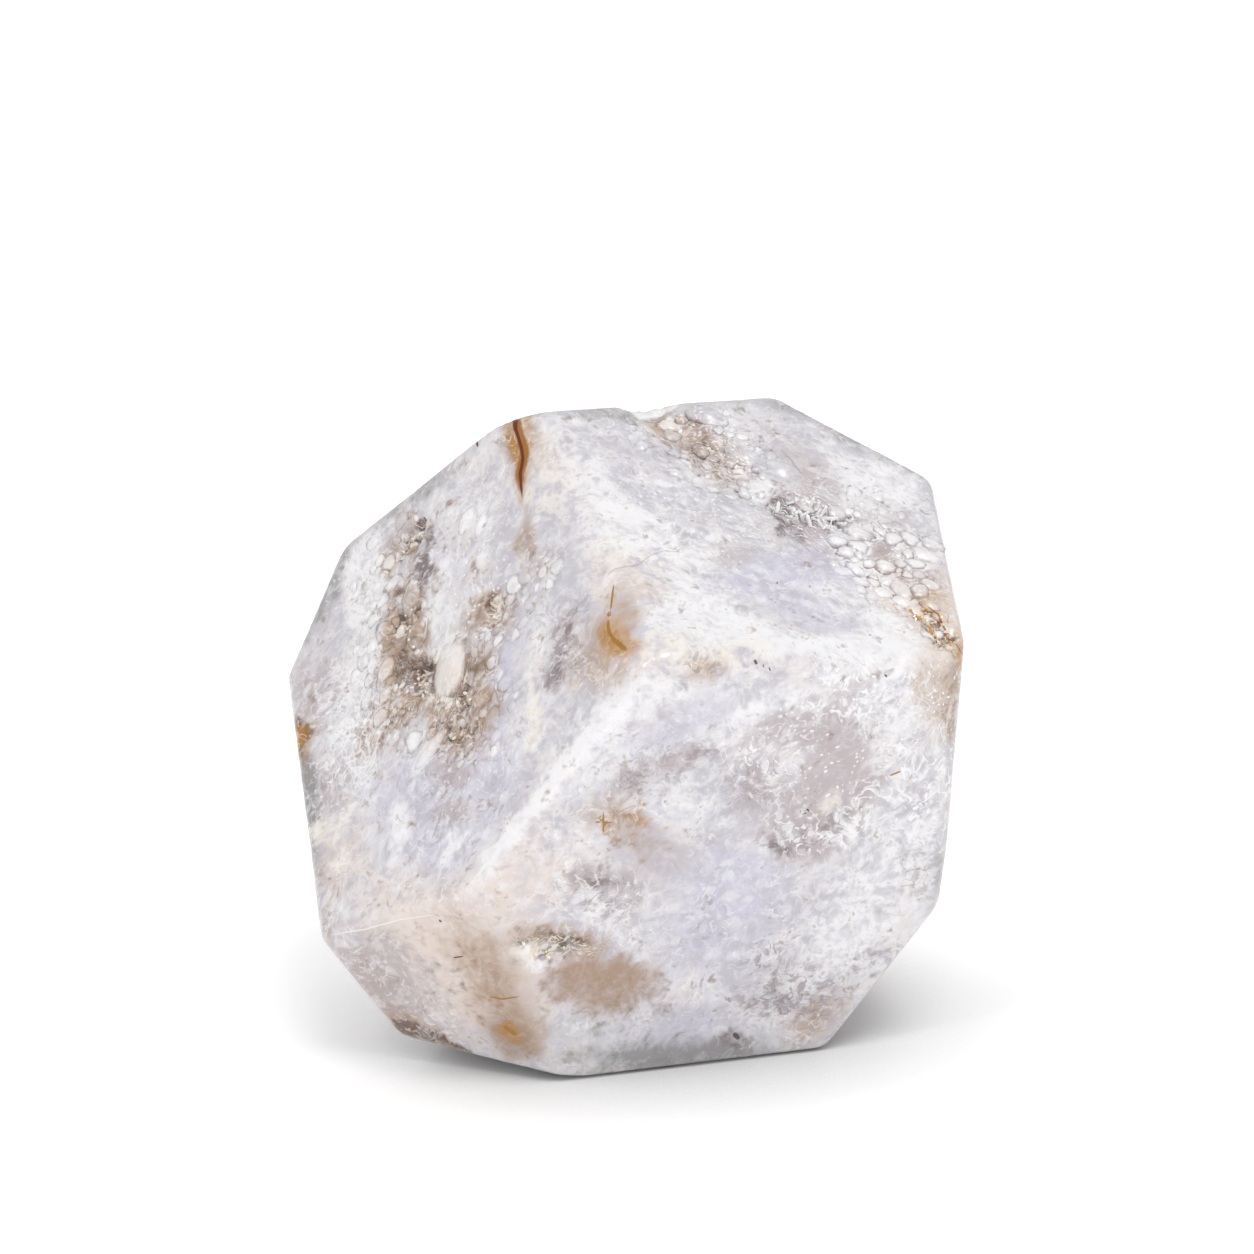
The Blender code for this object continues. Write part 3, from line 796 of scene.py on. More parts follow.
class Skin:
    """The points of the stone's mesh, with what the painting and carving need to know of each.

    Attributes:
        points: Places, one row each.
        normals: The surface's normals there.
        flow: Unit vectors along the streaks there.
        out: Unit vectors out of the face that each point belongs to.
        ridge: Distance to the nearest ridge.
        seen: Where each point falls in the photograph, in pixels.
        facing: 1 where the photograph shows the point, and 0 where it doesn't.
    """

    def __init__(self, mesh: bpy.types.Mesh, view: PictureView) -> None:
        """Read the mesh.

        Args:
            mesh: The stone's mesh.
            view: Where the photograph was taken from.
        """
        self.points, normals = read_mesh(mesh)
        self.normals = normals.astype(float)
        self.seen = view.to_pixels(self.points)
        to_camera = np.array(view.position()) - self.points
        to_camera /= np.linalg.norm(to_camera, axis=1)[:, None]
        self.facing = fade(*FACING_FADE, (self.normals * to_camera).sum(axis=1))
        planes = np.array([face.normal() for face in FACES])
        reaches = np.array([face.reach for face in FACES])
        inside = (self.points - np.array(HEART)) @ planes.T - reaches
        nearest = np.argsort(-inside, axis=1)[:, :2]
        rows = np.arange(len(self.points))
        self.ridge = inside[rows, nearest[:, 0]] - inside[rows, nearest[:, 1]]
        self.flow = np.array([face.along(face.flow) for face in FACES])[nearest[:, 0]]
        self.out = planes[nearest[:, 0]]

    def flow_places(self) -> np.ndarray:
        """Return each point's place along, across and out of its face, in millimetres."""
        across = np.cross(self.out, self.flow)
        parts = [(self.points * axis).sum(axis=1) for axis in (self.flow, across, self.out)]
        return np.stack(parts, axis=1) / MM

    def nearest_seen(self, x: float, y: float) -> int:
        """Return the number of the point that the photograph shows nearest to a pixel."""
        off = np.hypot(self.seen[:, 0] - x, self.seen[:, 1] - y)
        return int(np.argmin(np.where(self.facing < 0.5, np.inf, off)))


@dataclass
class PatchPainter:
    """Lays the patches of colour and grain on the stone.

    Attributes:
        view: Where the photograph was taken from.
        stray: How far the patches' rims wander, in millimetres.
        stray_size: Size of that wandering.
        shift: Where the hidden sides' first pattern is read.
        step: How far each further kind's pattern is moved on, so that no two fall together.
    """

    view: PictureView
    stray: float = 0.55
    stray_size: float = 1.8 * MM
    shift: float = 11.0
    step: float = 7.0

    def paint(self, skin: Skin) -> dict[Tint | Grain, np.ndarray]:
        """Work out the strength of every tint and grain.

        Args:
            skin: The stone's points.

        Returns:
            For each tint and grain, one value for each point, with 0 for none and 1 for full.
        """
        warp = clouds(skin.points, self.stray_size, 1.0, 3) * self.stray
        per_pixel = self.view.pixel / MM
        right = skin.seen[:, 0] * per_pixel + warp[:, 0]
        high = -skin.seen[:, 1] * per_pixel + warp[:, 1]
        weights: dict[Tint | Grain, np.ndarray] = {}
        for number, (kind, spread) in enumerate(SPREADS.items()):
            puffs = cloud(skin.points, spread.size * MM, shift=self.shift + self.step * number)
            hidden = fade(spread.low, spread.high, puffs) * spread.strength
            weight = hidden * (1.0 - skin.facing)
            for patch in (Patch(*row) for row in PATCH_ROWS[kind]):
                off_x = right - patch.x * per_pixel
                off_y = high + patch.y * per_pixel
                turn = math.radians(patch.turn)
                along = (off_x * math.cos(turn) + off_y * math.sin(turn)) * 2.0 / patch.length
                across = (off_y * math.cos(turn) - off_x * math.sin(turn)) * 2.0 / patch.width
                share = np.hypot(along, across)
                cover = fade(1.0 + patch.soft, 1.0 - patch.soft, share) * patch.strength * skin.facing
                weight = 1.0 - (1.0 - weight) * (1.0 - cover)
            weights[kind] = weight
        return weights


@dataclass
class LineTracer:
    """Works out where each point lies beside the thin lines.

    Attributes:
        view: Where the photograph was taken from.
        near: Distance within which a point belongs to a line, in millimetres.
        far: How many half widths count for a point that belongs to no line.
        wander: How far a line strays from its course, as a share of its width.
        wander_size: Size of that straying.
    """

    view: PictureView
    near: float = 1.5
    far: float = 9.0
    wander: float = 0.16
    wander_size: float = 0.9 * MM

    def trace(self, skin: Skin, kind: Trace) -> np.ndarray:
        """Place every point beside the lines of one kind.

        Args:
            skin: The stone's points.
            kind: The kind of line.

        Returns:
            For each point, how many half widths it lies beside the nearest line, how far along the
            line it lies, with -1 and 1 at the ends, and 1 near the line or 0 far from it.
        """
        per_pixel = self.view.pixel / MM
        count = len(skin.points)
        best = np.full(count, np.inf)
        result = np.zeros((count, 3))
        result[:, 0] = self.far
        wander = cloud(skin.points, self.wander_size, shift=21.0) * self.wander
        for line in LINES[kind]:
            course = np.array(line.course) * per_pixel
            lengths = np.hypot(*np.diff(course, axis=0).T)
            total = lengths.sum()
            start = 0.0
            for index, length in enumerate(lengths):
                ahead = (course[index + 1] - course[index]) / length
                off = skin.seen * per_pixel - course[index]
                run = off @ ahead
                side = off[:, 0] * ahead[1] - off[:, 1] * ahead[0] + wander * line.width
                low = -np.inf if index == 0 else 0.0
                high = np.inf if index == len(lengths) - 1 else length
                beyond = run - np.clip(run, 0.0, length)
                apart = np.hypot(side, beyond)
                held = np.clip(run, low, high)
                closer = apart < best
                best[closer] = apart[closer]
                result[closer, 0] = side[closer] * 2.0 / line.width
                result[closer, 1] = ((start + held[closer]) / total * 2.0 - 1.0) / (1.0 + line.width / total)
                start += length
        result[:, 2] = fade(self.near, self.near * 0.6, best) * skin.facing
        return result


@dataclass
class SetPebble:
    """One pebble that has found its place.

    Attributes:
        point: Number of the stone's mesh point under its middle.
        half: Half of its width.
        slim: Its length over its width.
        along: Unit vector along it.
        tone: How white it is, from 0 to 1.
        named: Whether the photograph shows this very pebble.
    """

    point: int
    half: float
    slim: float
    along: Vector
    tone: float
    named: bool


@dataclass
class PebbleField:
    """Finds the places of the botryoidal skin's rounded pebbles.

    Attributes:
        seed: Seed of the random draws.
        draws: How many places are tried for a pebble.
        smallest: Half width of the smallest pebble.
        largest: Half width of the largest random pebble.
        slimness: Length over width of a middling random pebble.
        swing: Degrees by which a random pebble may lie across the streaks, to either side.
        packing: How close two pebbles may stand, with 1 where they only touch.
        fuller: How much wider a named pebble is than what shows of it.
        rim: Facing below which the outline stays free of pebbles.
        base: Height below which the foot of the stone stays free of them.
        edge: Distance from the stone's edges that stays free of them.
        cluster: Size of the clusters that they stand in.
        swell: Height over half width of the low swell under a pebble.
        swell_cap: Most that such a swell stands up.
    """

    seed: int = 5
    draws: int = 7000
    smallest: float = 0.27 * MM
    largest: float = 0.96 * MM
    slimness: float = 1.22
    swing: float = 30.0
    packing: float = 0.75
    fuller: float = 1.3
    rim: float = 0.16
    base: float = 4.0 * MM
    edge: float = 0.7 * MM
    cluster: float = 2.2 * MM
    swell: float = 0.12
    swell_cap: float = 0.10 * MM

    def choose(self, skin: Skin, weight: np.ndarray, pale: np.ndarray) -> list[SetPebble]:
        """Find room for the pebbles, the named ones first and the smallest last.

        Args:
            skin: The stone's points.
            weight: How pebbly the skin is at each point.
            pale: How white the random pebbles are there at least.

        Returns:
            The pebbles.
        """
        rng = np.random.default_rng(self.seed)
        weight = weight * fade(self.rim, self.rim * 2.0, skin.facing)
        weight = weight * fade(self.base, self.base * 1.5, skin.points[:, 2])
        weight = weight * fade(self.edge, self.edge * 2.0, skin.ridge)
        weight = weight * fade(-0.35, 0.15, cloud(skin.points, self.cluster, shift=55.0))
        chosen = [self._named(skin, pebble) for pebble in PEBBLES]
        taken = [(*skin.points[pebble.point], pebble.half * (1.0 + pebble.slim) / 2.0) for pebble in chosen]
        spots = rng.choice(np.flatnonzero(weight > 0.1), self.draws)
        for index, point in enumerate(spots):
            growth = (1.0 - index / self.draws) ** 1.2 * rng.uniform(0.1, 1.0)
            half = self.smallest + (self.largest - self.smallest) * growth
            tone, turn, luck = rng.random(3)
            near = np.array(taken)
            gap = np.linalg.norm(near[:, :3] - skin.points[point], axis=1)
            gap -= (near[:, 3] + half) * self.packing
            if gap.min() < 0.0 or luck > weight[point] * 1.3:
                continue
            slim = 1.0 + (self.slimness - 1.0) * 2.0 * rng.random()
            along = self._turned(skin, point, (turn - 0.5) * 2.0 * self.swing)
            chosen.append(SetPebble(int(point), half, slim, along, max(tone, pale[point]), False))
            taken.append((*skin.points[point], half * (1.0 + slim) / 2.0))
        LOG.info("pebbles: %d", len(chosen))
        return chosen

    def _named(self, skin: Skin, pebble: Pebble) -> SetPebble:
        """Return a pebble from the list in its place."""
        point = skin.nearest_seen(pebble.x, pebble.y)
        along = self._turned(skin, point, pebble.turn)
        slim = pebble.length / pebble.width
        return SetPebble(point, pebble.width * MM / 2.0 * self.fuller, slim, along, pebble.tone, True)

    @staticmethod
    def _turned(skin: Skin, point: int, turn: float) -> Vector:
        """Return the unit vector at a point that is turned by degrees from the streaks."""
        return Matrix.Rotation(math.radians(turn), 3, Vector(skin.normals[point])) @ Vector(skin.flow[point])

    def swells(self, skin: Skin, pebbles: list[SetPebble]) -> tuple[np.ndarray, np.ndarray, np.ndarray]:
        """Work out the low swells under the pebbles.

        Args:
            skin: The stone's points.
            pebbles: The pebbles.

        Returns:
            For each point, how near it is to a pebble's middle from 0 to 1, how white that pebble is,
            and how high the swell stands there.
        """
        dome = np.zeros(len(skin.points))
        tone = np.full(len(skin.points), 0.5)
        height = np.zeros(len(skin.points))
        for pebble in pebbles:
            reach = pebble.half * 1.25
            off = skin.points - skin.points[pebble.point]
            close = np.flatnonzero((np.abs(off) < reach * pebble.slim).all(axis=1))
            off = off[close]
            out = Vector(skin.normals[pebble.point])
            across = out.cross(pebble.along)
            share = (off @ np.array(pebble.along) / (reach * pebble.slim)) ** 2
            share += (off @ np.array(across) / reach) ** 2 + (off @ np.array(out) / reach) ** 2
            rise = np.clip(1.0 - share, 0.0, 1.0)
            better = rise > dome[close]
            places = close[better]
            dome[places] = rise[better]
            tone[places] = pebble.tone
            height[places] = np.minimum(rise[better] * pebble.half * self.swell, self.swell_cap)
        return dome, tone, height


@dataclass
class StoneBody:
    """The agate block: its faces, rounded edges, hollows and fine relief.

    Attributes:
        view: Where the photograph was taken from.
        blank_side: Side of the cube that the block is cut from.
        edge_round: Width of the rounding along the edges.
        edge_steps: Segments of that rounding.
        edge_angle: Degrees between two faces from which their edge is rounded.
        voxel: Size of the fine mesh's squares.
        wave: Height of the slow waves that hand polishing leaves.
        wave_size: Size of those waves.
        pebble_sink: How far the pebbly skin lies below the polished one.
        rough: Height of the rough relief in the pockets.
        rough_size: Size of that relief.
        lined: Share of a pocket's depth from which crystals can line it.
        base_fade: Heights between which the relief starts and is full, so that the base stays flat.
        pebbles: The pebbles that have found their places.
        pocket_of: For each mesh point, the number of the pocket it lies in, or -1.
    """

    view: PictureView
    blank_side: float = 0.120
    edge_round: float = 0.9 * MM
    edge_steps: int = 5
    edge_angle: float = 8.0
    voxel: float = 0.355 * MM
    wave: float = 0.06 * MM
    wave_size: float = 7.0 * MM
    pebble_sink: float = 0.16 * MM
    rough: float = 0.2 * MM
    rough_size: float = 0.6 * MM
    lined: float = 0.45
    base_fade: tuple[float, float] = (0.2 * MM, 1.6 * MM)
    pebbles: list[SetPebble] = field(init=False, repr=False)
    pocket_of: np.ndarray = field(init=False, repr=False)

    def build(self) -> bpy.types.Object:
        """Model the stone.

        Returns:
            The finished mesh object, with its patches as attributes.
        """
        stone = self._cut_block()
        apply_modifier(
            stone,
            "BEVEL",
            width=self.edge_round,
            segments=self.edge_steps,
            limit_method="ANGLE",
            angle_limit=math.radians(self.edge_angle),
        )
        guide = copy_piece(stone)
        apply_modifier(stone, "REMESH", mode="VOXEL", voxel_size=self.voxel, adaptivity=0.0)
        apply_modifier(stone, "SHRINKWRAP", target=guide, wrap_method="NEAREST_SURFACEPOINT")
        bpy.data.objects.remove(guide)
        apply_modifier(stone, "SMOOTH", factor=0.5, iterations=4)
        self._carve(stone)
        make_active(stone)
        bpy.ops.object.shade_smooth()
        LOG.info("%s: %d faces", stone.name, len(stone.data.polygons))
        return stone

    def _cut_block(self) -> bpy.types.Object:
        """Cut a cube by the plane of every face and return the block."""
        deselect_all()
        bpy.ops.mesh.primitive_cube_add(size=self.blank_side, location=HEART)
        block = bpy.context.active_object
        block.name = "agate_stone"
        block.data.name = "agate_stone"
        bpy.ops.object.transform_apply(location=True, rotation=True, scale=True)
        bpy.ops.object.mode_set(mode="EDIT")
        for face in FACES:
            cut_away(HEART + face.normal() * face.reach, face.normal(), 1e-7)
        bpy.ops.mesh.select_all(action="SELECT")
        bpy.ops.mesh.normals_make_consistent(inside=False)
        bpy.ops.object.mode_set(mode="OBJECT")
        return block

    @staticmethod
    def _in_hollow(points: np.ndarray, hollow: Hollow) -> np.ndarray:
        """Return how far points are from a hollow's middle, with 1 on its ragged rim."""
        face = next(face for face in FACES if face.name == hollow.face)
        ray = aim(hollow.bearing, hollow.rise)
        middle = HEART + ray * (face.reach / ray.dot(face.normal()))
        along = face.along(hollow.turn)
        across = face.normal().cross(along)
        off = points - np.array(middle)
        u = off @ np.array(along) * 2.0 / hollow.length
        v = off @ np.array(across) * 2.0 / hollow.width
        out = off @ np.array(face.normal()) * 2.0 / hollow.width
        share = np.sqrt(u * u + v * v + np.minimum(out, 0.0) ** 2)
        near = share < 2.5
        stray = np.zeros(len(points))
        stray[near] = cloud(points[near], 1.3 * MM, shift=hollow.bearing * 0.37, octaves=3)
        return share + hollow.ragged * stray

    def _carve(self, stone: bpy.types.Object) -> None:
        """Sink the hollows, raise the pebbles and store what the finish reads."""
        mesh = stone.data
        skin = Skin(mesh, self.view)
        weights = PatchPainter(self.view).paint(skin)
        places = PebbleField()
        self.pebbles = places.choose(skin, weights[Grain.PEBBLES], weights[Grain.DOTS])
        dome, tone, height = places.swells(skin, self.pebbles)
        pebbly = np.maximum(weights[Grain.PEBBLES], fade(0.0, 0.3, dome))
        depth = self.wave * (cloud(skin.points, self.wave_size, shift=3.0) - 1.0)
        depth += pebbly * self.pebble_sink - height
        for dish in DISHES:
            depth += dish.depth * fade(1.05, 0.3, self._in_hollow(skin.points, dish))
        druse = np.zeros(len(skin.points))
        self.pocket_of = np.full(len(skin.points), -1)
        for number, pocket in enumerate(POCKETS):
            share = self._in_hollow(skin.points, pocket)
            inside = fade(1.1, 0.6, share)
            self.pocket_of[inside > self.lined] = number
            druse = np.maximum(druse, inside)
            depth += pocket.depth * inside
        depth += druse * self.rough * cloud(skin.points, self.rough_size, shift=9.0)
        above_base = fade(*self.base_fade, skin.points[:, 2])
        moved = skin.points - skin.normals * (depth * above_base)[:, None]
        mesh.vertices.foreach_set("co", moved.ravel())
        mesh.update()
        store_patches(mesh, skin, weights, self.view)
        extra = {"pebble_dome": dome, "pebble_tone": tone, "pebbly": pebbly, "druse": druse}
        for name, values in extra.items():
            store(mesh, name, values)


def store(mesh: bpy.types.Mesh, name: str, values: np.ndarray) -> None:
    """Keep one number or vector for each point of a mesh as an attribute that the finish reads.

    Args:
        mesh: The mesh.
        name: The attribute's name.
        values: The numbers, or one row of three for each point.
    """
    whole = values.ndim == 1
    layer = mesh.attributes.get(name)
    if layer is None:
        layer = mesh.attributes.new(name, "FLOAT" if whole else "FLOAT_VECTOR", "POINT")
    layer.data.foreach_set("value" if whole else "vector", values.astype(np.float32).ravel())


def store_patches(
    mesh: bpy.types.Mesh, skin: Skin, weights: dict[Tint | Grain, np.ndarray], view: PictureView
) -> None:
    """Store the patches, lines and pattern coordinates on a mesh.

    Args:
        mesh: The mesh.
        skin: Its points.
        weights: The strength of every tint and grain at each point.
        view: Where the photograph was taken from.
    """
    for kind, weight in weights.items():
        store(mesh, kind.value, weight)
    store(mesh, "ridge", skin.ridge / MM)
    store(mesh, "broad_cloud", cloud(skin.points, 5.0 * MM, shift=40.0, octaves=4))
    for kind in Trace:
        store(mesh, kind.value, LineTracer(view).trace(skin, kind))
    small = clouds(skin.points, 1.1 * MM, 80.0, 2)
    swirl = skin.points / MM + clouds(skin.points, 3.2 * MM, 60.0, 2) * 0.6 + small * 0.14
    store(mesh, "swirl_place", swirl)
    store(mesh, "flow_place", skin.flow_places() + small * 0.3)


@dataclass
class PebbleCrust:
    """The low rounded pebbles that stand out of the stone's natural hollows.

    Attributes:
        view: Where the photograph was taken from.
        name: Name of the finished piece.
        flat: Height of a pebble over its half width.
        cap: Most that a pebble stands up. A named one may stand twice as high.
        sunk: How far its middle lies below the stone's skin, as a share of its height.
        foot: How deep it reaches below its middle, as a share of its height.
        uneven: How far its outline strays from an ellipse, as a share of its size.
        even: The same for a named pebble, which is rounder.
        slope: How softly its flanks run out, from 0.5 for a round dome.
        flare: How far its foot spreads below its rim for each step down, so that no gap shows.
    """

    view: PictureView
    name: str = "pebble_crust"
    flat: float = 0.40
    cap: float = 0.27 * MM
    sunk: float = 0.10
    foot: float = 0.75
    uneven: float = 0.75
    even: float = 0.22
    slope: float = 1.45
    flare: float = 0.1

    def build(self, stone: bpy.types.Object, pebbles: list[SetPebble]) -> bpy.types.Object:
        """Set every pebble on the stone.

        Args:
            stone: The finished stone.
            pebbles: The pebbles that have found their places.

        Returns:
            All the pebbles as one object.
        """
        points, normals = read_mesh(stone.data)
        plain, fine = self._model_dome(2), self._model_dome(3)
        pieces = []
        for number, pebble in enumerate(pebbles):
            near = np.linalg.norm(points - points[pebble.point], axis=1) < max(pebble.half, 0.5 * MM)
            out = Vector(normals[near].mean(axis=0)).normalized()
            piece = self._copy_dome(fine if pebble.named else plain, pebble, number)
            piece.data.transform(self._stand(Vector(points[pebble.point]), out, pebble))
            pieces.append(piece)
        for model in (plain, fine):
            bpy.data.objects.remove(model)
        crust = join_pieces(pieces, self.name)
        self._dress(crust.data)
        LOG.info("%s: %d pebbles, %d faces", self.name, len(pieces), len(crust.data.polygons))
        return crust

    def _stand(self, place: Vector, out: Vector, pebble: SetPebble) -> Matrix:
        """Find where a pebble stands.

        Args:
            place: The point under its middle.
            out: Unit vector out of the stone.
            pebble: The pebble.

        Returns:
            The transform that takes the model of half width 1 to the pebble's size and place.
        """
        height = min(pebble.half * self.flat, self.cap * (2.0 if pebble.named else 1.0))
        across = out.cross(pebble.along).normalized()
        along = across.cross(out)
        turn = Matrix((along, across, out)).transposed().to_4x4()
        size = Matrix.Diagonal((pebble.half * pebble.slim, pebble.half, height, 1.0))
        return Matrix.Translation(place - out * height * self.sunk) @ turn @ size

    def _copy_dome(self, model: bpy.types.Object, pebble: SetPebble, number: int) -> bpy.types.Object:
        """Make an uneven copy of the model that carries its pebble's tone.

        Args:
            model: The model.
            pebble: The pebble.
            number: The pebble's number, from which its unevenness follows.

        Returns:
            The copy.
        """
        piece = copy_piece(model)
        shift = Vector((number * 1.7, number * -2.3, number * 0.9))
        most = self.even if pebble.named else self.uneven
        for vertex in piece.data.vertices:
            flank = Vector((vertex.co.x, vertex.co.y, 0.0)).normalized()
            stray = noise.noise(flank * 0.9 + shift) * most
            vertex.co.x *= 1.0 + stray
            vertex.co.y *= 1.0 + stray
        store(piece.data, "pebble_tone", np.full(len(piece.data.vertices), pebble.tone))
        return piece

    def _dress(self, mesh: bpy.types.Mesh) -> None:
        """Store on the joined pebbles what the stone's finish reads."""
        skin = Skin(mesh, self.view)
        store_patches(mesh, skin, PatchPainter(self.view).paint(skin), self.view)
        store(mesh, "pebbly", np.ones(len(skin.points)))
        store(mesh, "druse", np.zeros(len(skin.points)))

    def _model_dome(self, fineness: int) -> bpy.types.Object:
        """Model a closed dome of half width 1 that holds how near each point is to its top.

        Args:
            fineness: How often its sphere is subdivided.

        Returns:
            The dome.
        """
        deselect_all()
        bpy.ops.mesh.primitive_ico_sphere_add(subdivisions=fineness, radius=1.0)
        dome = bpy.context.active_object
        bpy.ops.object.mode_set(mode="EDIT")
        cut_away(Vector((0.0, 0.0, -self.foot)), Vector((0.0, 0.0, -1.0)), 1e-5)
        bpy.ops.object.mode_set(mode="OBJECT")
        bpy.ops.object.shade_smooth()
        for vertex in dome.data.vertices:
            if vertex.co.z > 0.0:
                vertex.co.z = max(0.0, 1.0 - vertex.co.x**2 - vertex.co.y**2) ** self.slope
            else:
                spread = (1.0 - self.flare * vertex.co.z) / math.sqrt(max(1.0 - vertex.co.z**2, 0.1))
                vertex.co.x *= spread
                vertex.co.y *= spread
        heights = np.array([vertex.co.z for vertex in dome.data.vertices])
        store(dome.data, "pebble_dome", np.clip((heights - self.sunk) / (1.0 - self.sunk), 0.0, 1.0))
        return dome


class NodeBench:
    """Lays out the shader nodes of one material. Its patterns are sized in millimetres.

    Attributes:
        material: The material that the nodes belong to.
    """

    def __init__(self, name: str) -> None:
        """Start a material of that name."""
        self.material = bpy.data.materials.new(name)
        self.material.use_nodes = True

    def node(self, kind: str, inputs: dict[object, object], **settings: object) -> bpy.types.Node:
        """Add a node.

        Args:
            kind: The node's type.
            inputs: Values or sockets for its inputs, by name or number.
            **settings: Its settings.

        Returns:
            The new node.
        """
        made = self.material.node_tree.nodes.new(kind)
        for name, value in settings.items():
            setattr(made, name, value)
        for name, value in inputs.items():
            self.feed(made.inputs[name], value)
        return made

    def feed(self, socket: Socket, value: object) -> None:
        """Link a socket to another one, or set its value."""
        if isinstance(value, bpy.types.NodeSocket):
            self.material.node_tree.links.new(value, socket)
        else:
            socket.default_value = value

    def finish(self, inputs: dict[str, object]) -> bpy.types.Material:
        """Link or set the surface shader's inputs.

        Args:
            inputs: Sockets, or the values of what is the same all over, by the inputs' names.

        Returns:
            The material.
        """
        surface = self.material.node_tree.nodes["Principled BSDF"]
        for name, value in inputs.items():
            self.feed(surface.inputs[name], value)
        return self.material

    def place(self) -> Socket:
        """Return the place on the piece, in millimetres."""
        whole = self.node("ShaderNodeTexCoord", {}).outputs["Object"]
        inputs = {0: whole, "Scale": 1.0 / MM}
        return self.node("ShaderNodeVectorMath", inputs, operation="SCALE").outputs["Vector"]

    def field(self, name: str) -> Socket:
        """Return a number that the mesh holds."""
        return self.node("ShaderNodeAttribute", {}, attribute_name=name).outputs["Fac"]

    def vector_field(self, name: str) -> Socket:
        """Return a vector that the mesh holds."""
        return self.node("ShaderNodeAttribute", {}, attribute_name=name).outputs["Vector"]

    def stretched(self, place: Socket, *stretch: float) -> Socket:
        """Return a place whose patterns come out longer by these factors."""
        made = self.node("ShaderNodeMapping", {"Vector": place, "Scale": stretch}, vector_type="TEXTURE")
        return made.outputs["Vector"]

    def shifted(self, place: Socket, *shift: float) -> Socket:
        """Return a place moved by a few millimetres."""
        return self.node("ShaderNodeVectorMath", {0: place, 1: shift}, operation="ADD").outputs["Vector"]

    def noise(
        self, place: Socket, size: float, detail: float = 2.0, rough: float = 0.55, bend: float = 0.0
    ) -> Socket:
        """Return cloudy noise.

        Args:
            place: Where it is read.
            size: About the size of its features.
            detail: How many finer layers are added.
            rough: How strong each finer layer is.
            bend: How far it is distorted.

        Returns:
            The noise, about 0.5.
        """
        inputs = {"Vector": place, "Scale": 1.0 / size, "Detail": detail, "Roughness": rough}
        inputs["Distortion"] = bend
        return self.node("ShaderNodeTexNoise", inputs).outputs["Fac"]

    def cells(self, place: Socket, size: float) -> tuple[Socket, Socket]:
        """Return the distance to the middles of cells of about that size, and each cell's own number."""
        made = self.node("ShaderNodeTexVoronoi", {"Vector": place, "Scale": 1.0 / size}, feature="F1")
        own = self.node("ShaderNodeSeparateColor", {"Color": made.outputs["Color"]})
        return made.outputs["Distance"], own.outputs[0]

    def cell_walls(self, place: Socket, size: float) -> Socket:
        """Return the distance to the walls between cells of about that size."""
        inputs = {"Vector": place, "Scale": 1.0 / size}
        return self.node("ShaderNodeTexVoronoi", inputs, feature="DISTANCE_TO_EDGE").outputs["Distance"]

    def math(self, operation: str, first: object, second: object = 0.0) -> Socket:
        """Return the result of a calculation with two numbers or sockets."""
        return self.node("ShaderNodeMath", {0: first, 1: second}, operation=operation).outputs[0]

    def times(self, *factors: object) -> Socket:
        """Return the product of numbers or sockets."""
        result = factors[0]
        for factor in factors[1:]:
            result = self.math("MULTIPLY", result, factor)
        return result

    def weigh(self, *terms: tuple[object, float]) -> Socket:
        """Return the sum of numbers or sockets, each times its weight."""
        result = 0.0
        for socket, weight in terms:
            made = self.node("ShaderNodeMath", {0: socket, 1: weight, 2: result}, operation="MULTIPLY_ADD")
            result = made.outputs[0]
        return result

    def span(self, value: object, low: float, high: float, start: float = 0.0, end: float = 1.0) -> Socket:
        """Map a value smoothly.

        Args:
            value: The value or socket.
            low: Where the result starts to change. It may be above high.
            high: Where it stops changing.
            start: The result at low.
            end: The result at high.

        Returns:
            The result.
        """
        inputs = {"Value": value, "From Min": low, "From Max": high, "To Min": start, "To Max": end}
        return self.node("ShaderNodeMapRange", inputs, interpolation_type="SMOOTHSTEP").outputs["Result"]

    def from_middle(self, value: Socket, low: float, high: float) -> Socket:
        """Return how far a noise is from its middle, mapped smoothly from low and high to 0 and 1."""
        return self.span(self.math("ABSOLUTE", self.math("SUBTRACT", value, 0.5)), low, high)

    def blend(self, share: object, first: object, second: object) -> Socket:
        """Return a mix of two colours."""
        made = self.node("ShaderNodeMix", {}, data_type="RGBA", clamp_factor=True)
        for number, value in zip((0, 6, 7), (share, first, second)):
            self.feed(made.inputs[number], (*value, 1.0) if isinstance(value, tuple) else value)
        return made.outputs[2]

    def bump(self, height: Socket, strength: float, distance: float) -> Socket:
        """Return the normal of a surface raised by a height of 0 to 1 times the distance."""
        inputs = {"Height": height, "Strength": strength, "Distance": distance}
        return self.node("ShaderNodeBump", inputs).outputs["Normal"]


@dataclass(frozen=True)
class Layer:
    """How one tint lies on the stone.

    Attributes:
        tint: The tint.
        colour: Its colour, linear.
        ragged: How far fine noise eats into its rim.
        low: The strength at which it starts.
        high: The strength at which it is full.
        cover: How much of what is below it hides.
    """

    tint: Tint
    colour: Colour
    ragged: float
    low: float
    high: float
    cover: float


@dataclass(frozen=True)
class Stroke:
    """How one kind of thin line is drawn.

    Attributes:
        kind: The kind.
        colour: Its colour, linear.
        cover: How much of what is below it hides.
    """

    kind: Trace
    colour: Colour
    cover: float


@dataclass(frozen=True)
class Ground:
    """The patterns that all the parts of the agate's finish share.

    Attributes:
        bench: The bench that the finish is laid out on.
        swirl: The place on the stone, swirled.
        flow: The place along, across and out of the face.
        calm: 0 in the smooth clear windows and 1 elsewhere.
        relief: The fine lumps.
        emboss: Painted highlight on one flank of those lumps and painted shade on the other, as if lit from
            above, about 0.
        ripple: The mixed clouds, about 0.
    """

    bench: NodeBench
    swirl: Socket
    flow: Socket
    calm: Socket
    relief: Socket
    emboss: Socket
    ripple: Socket


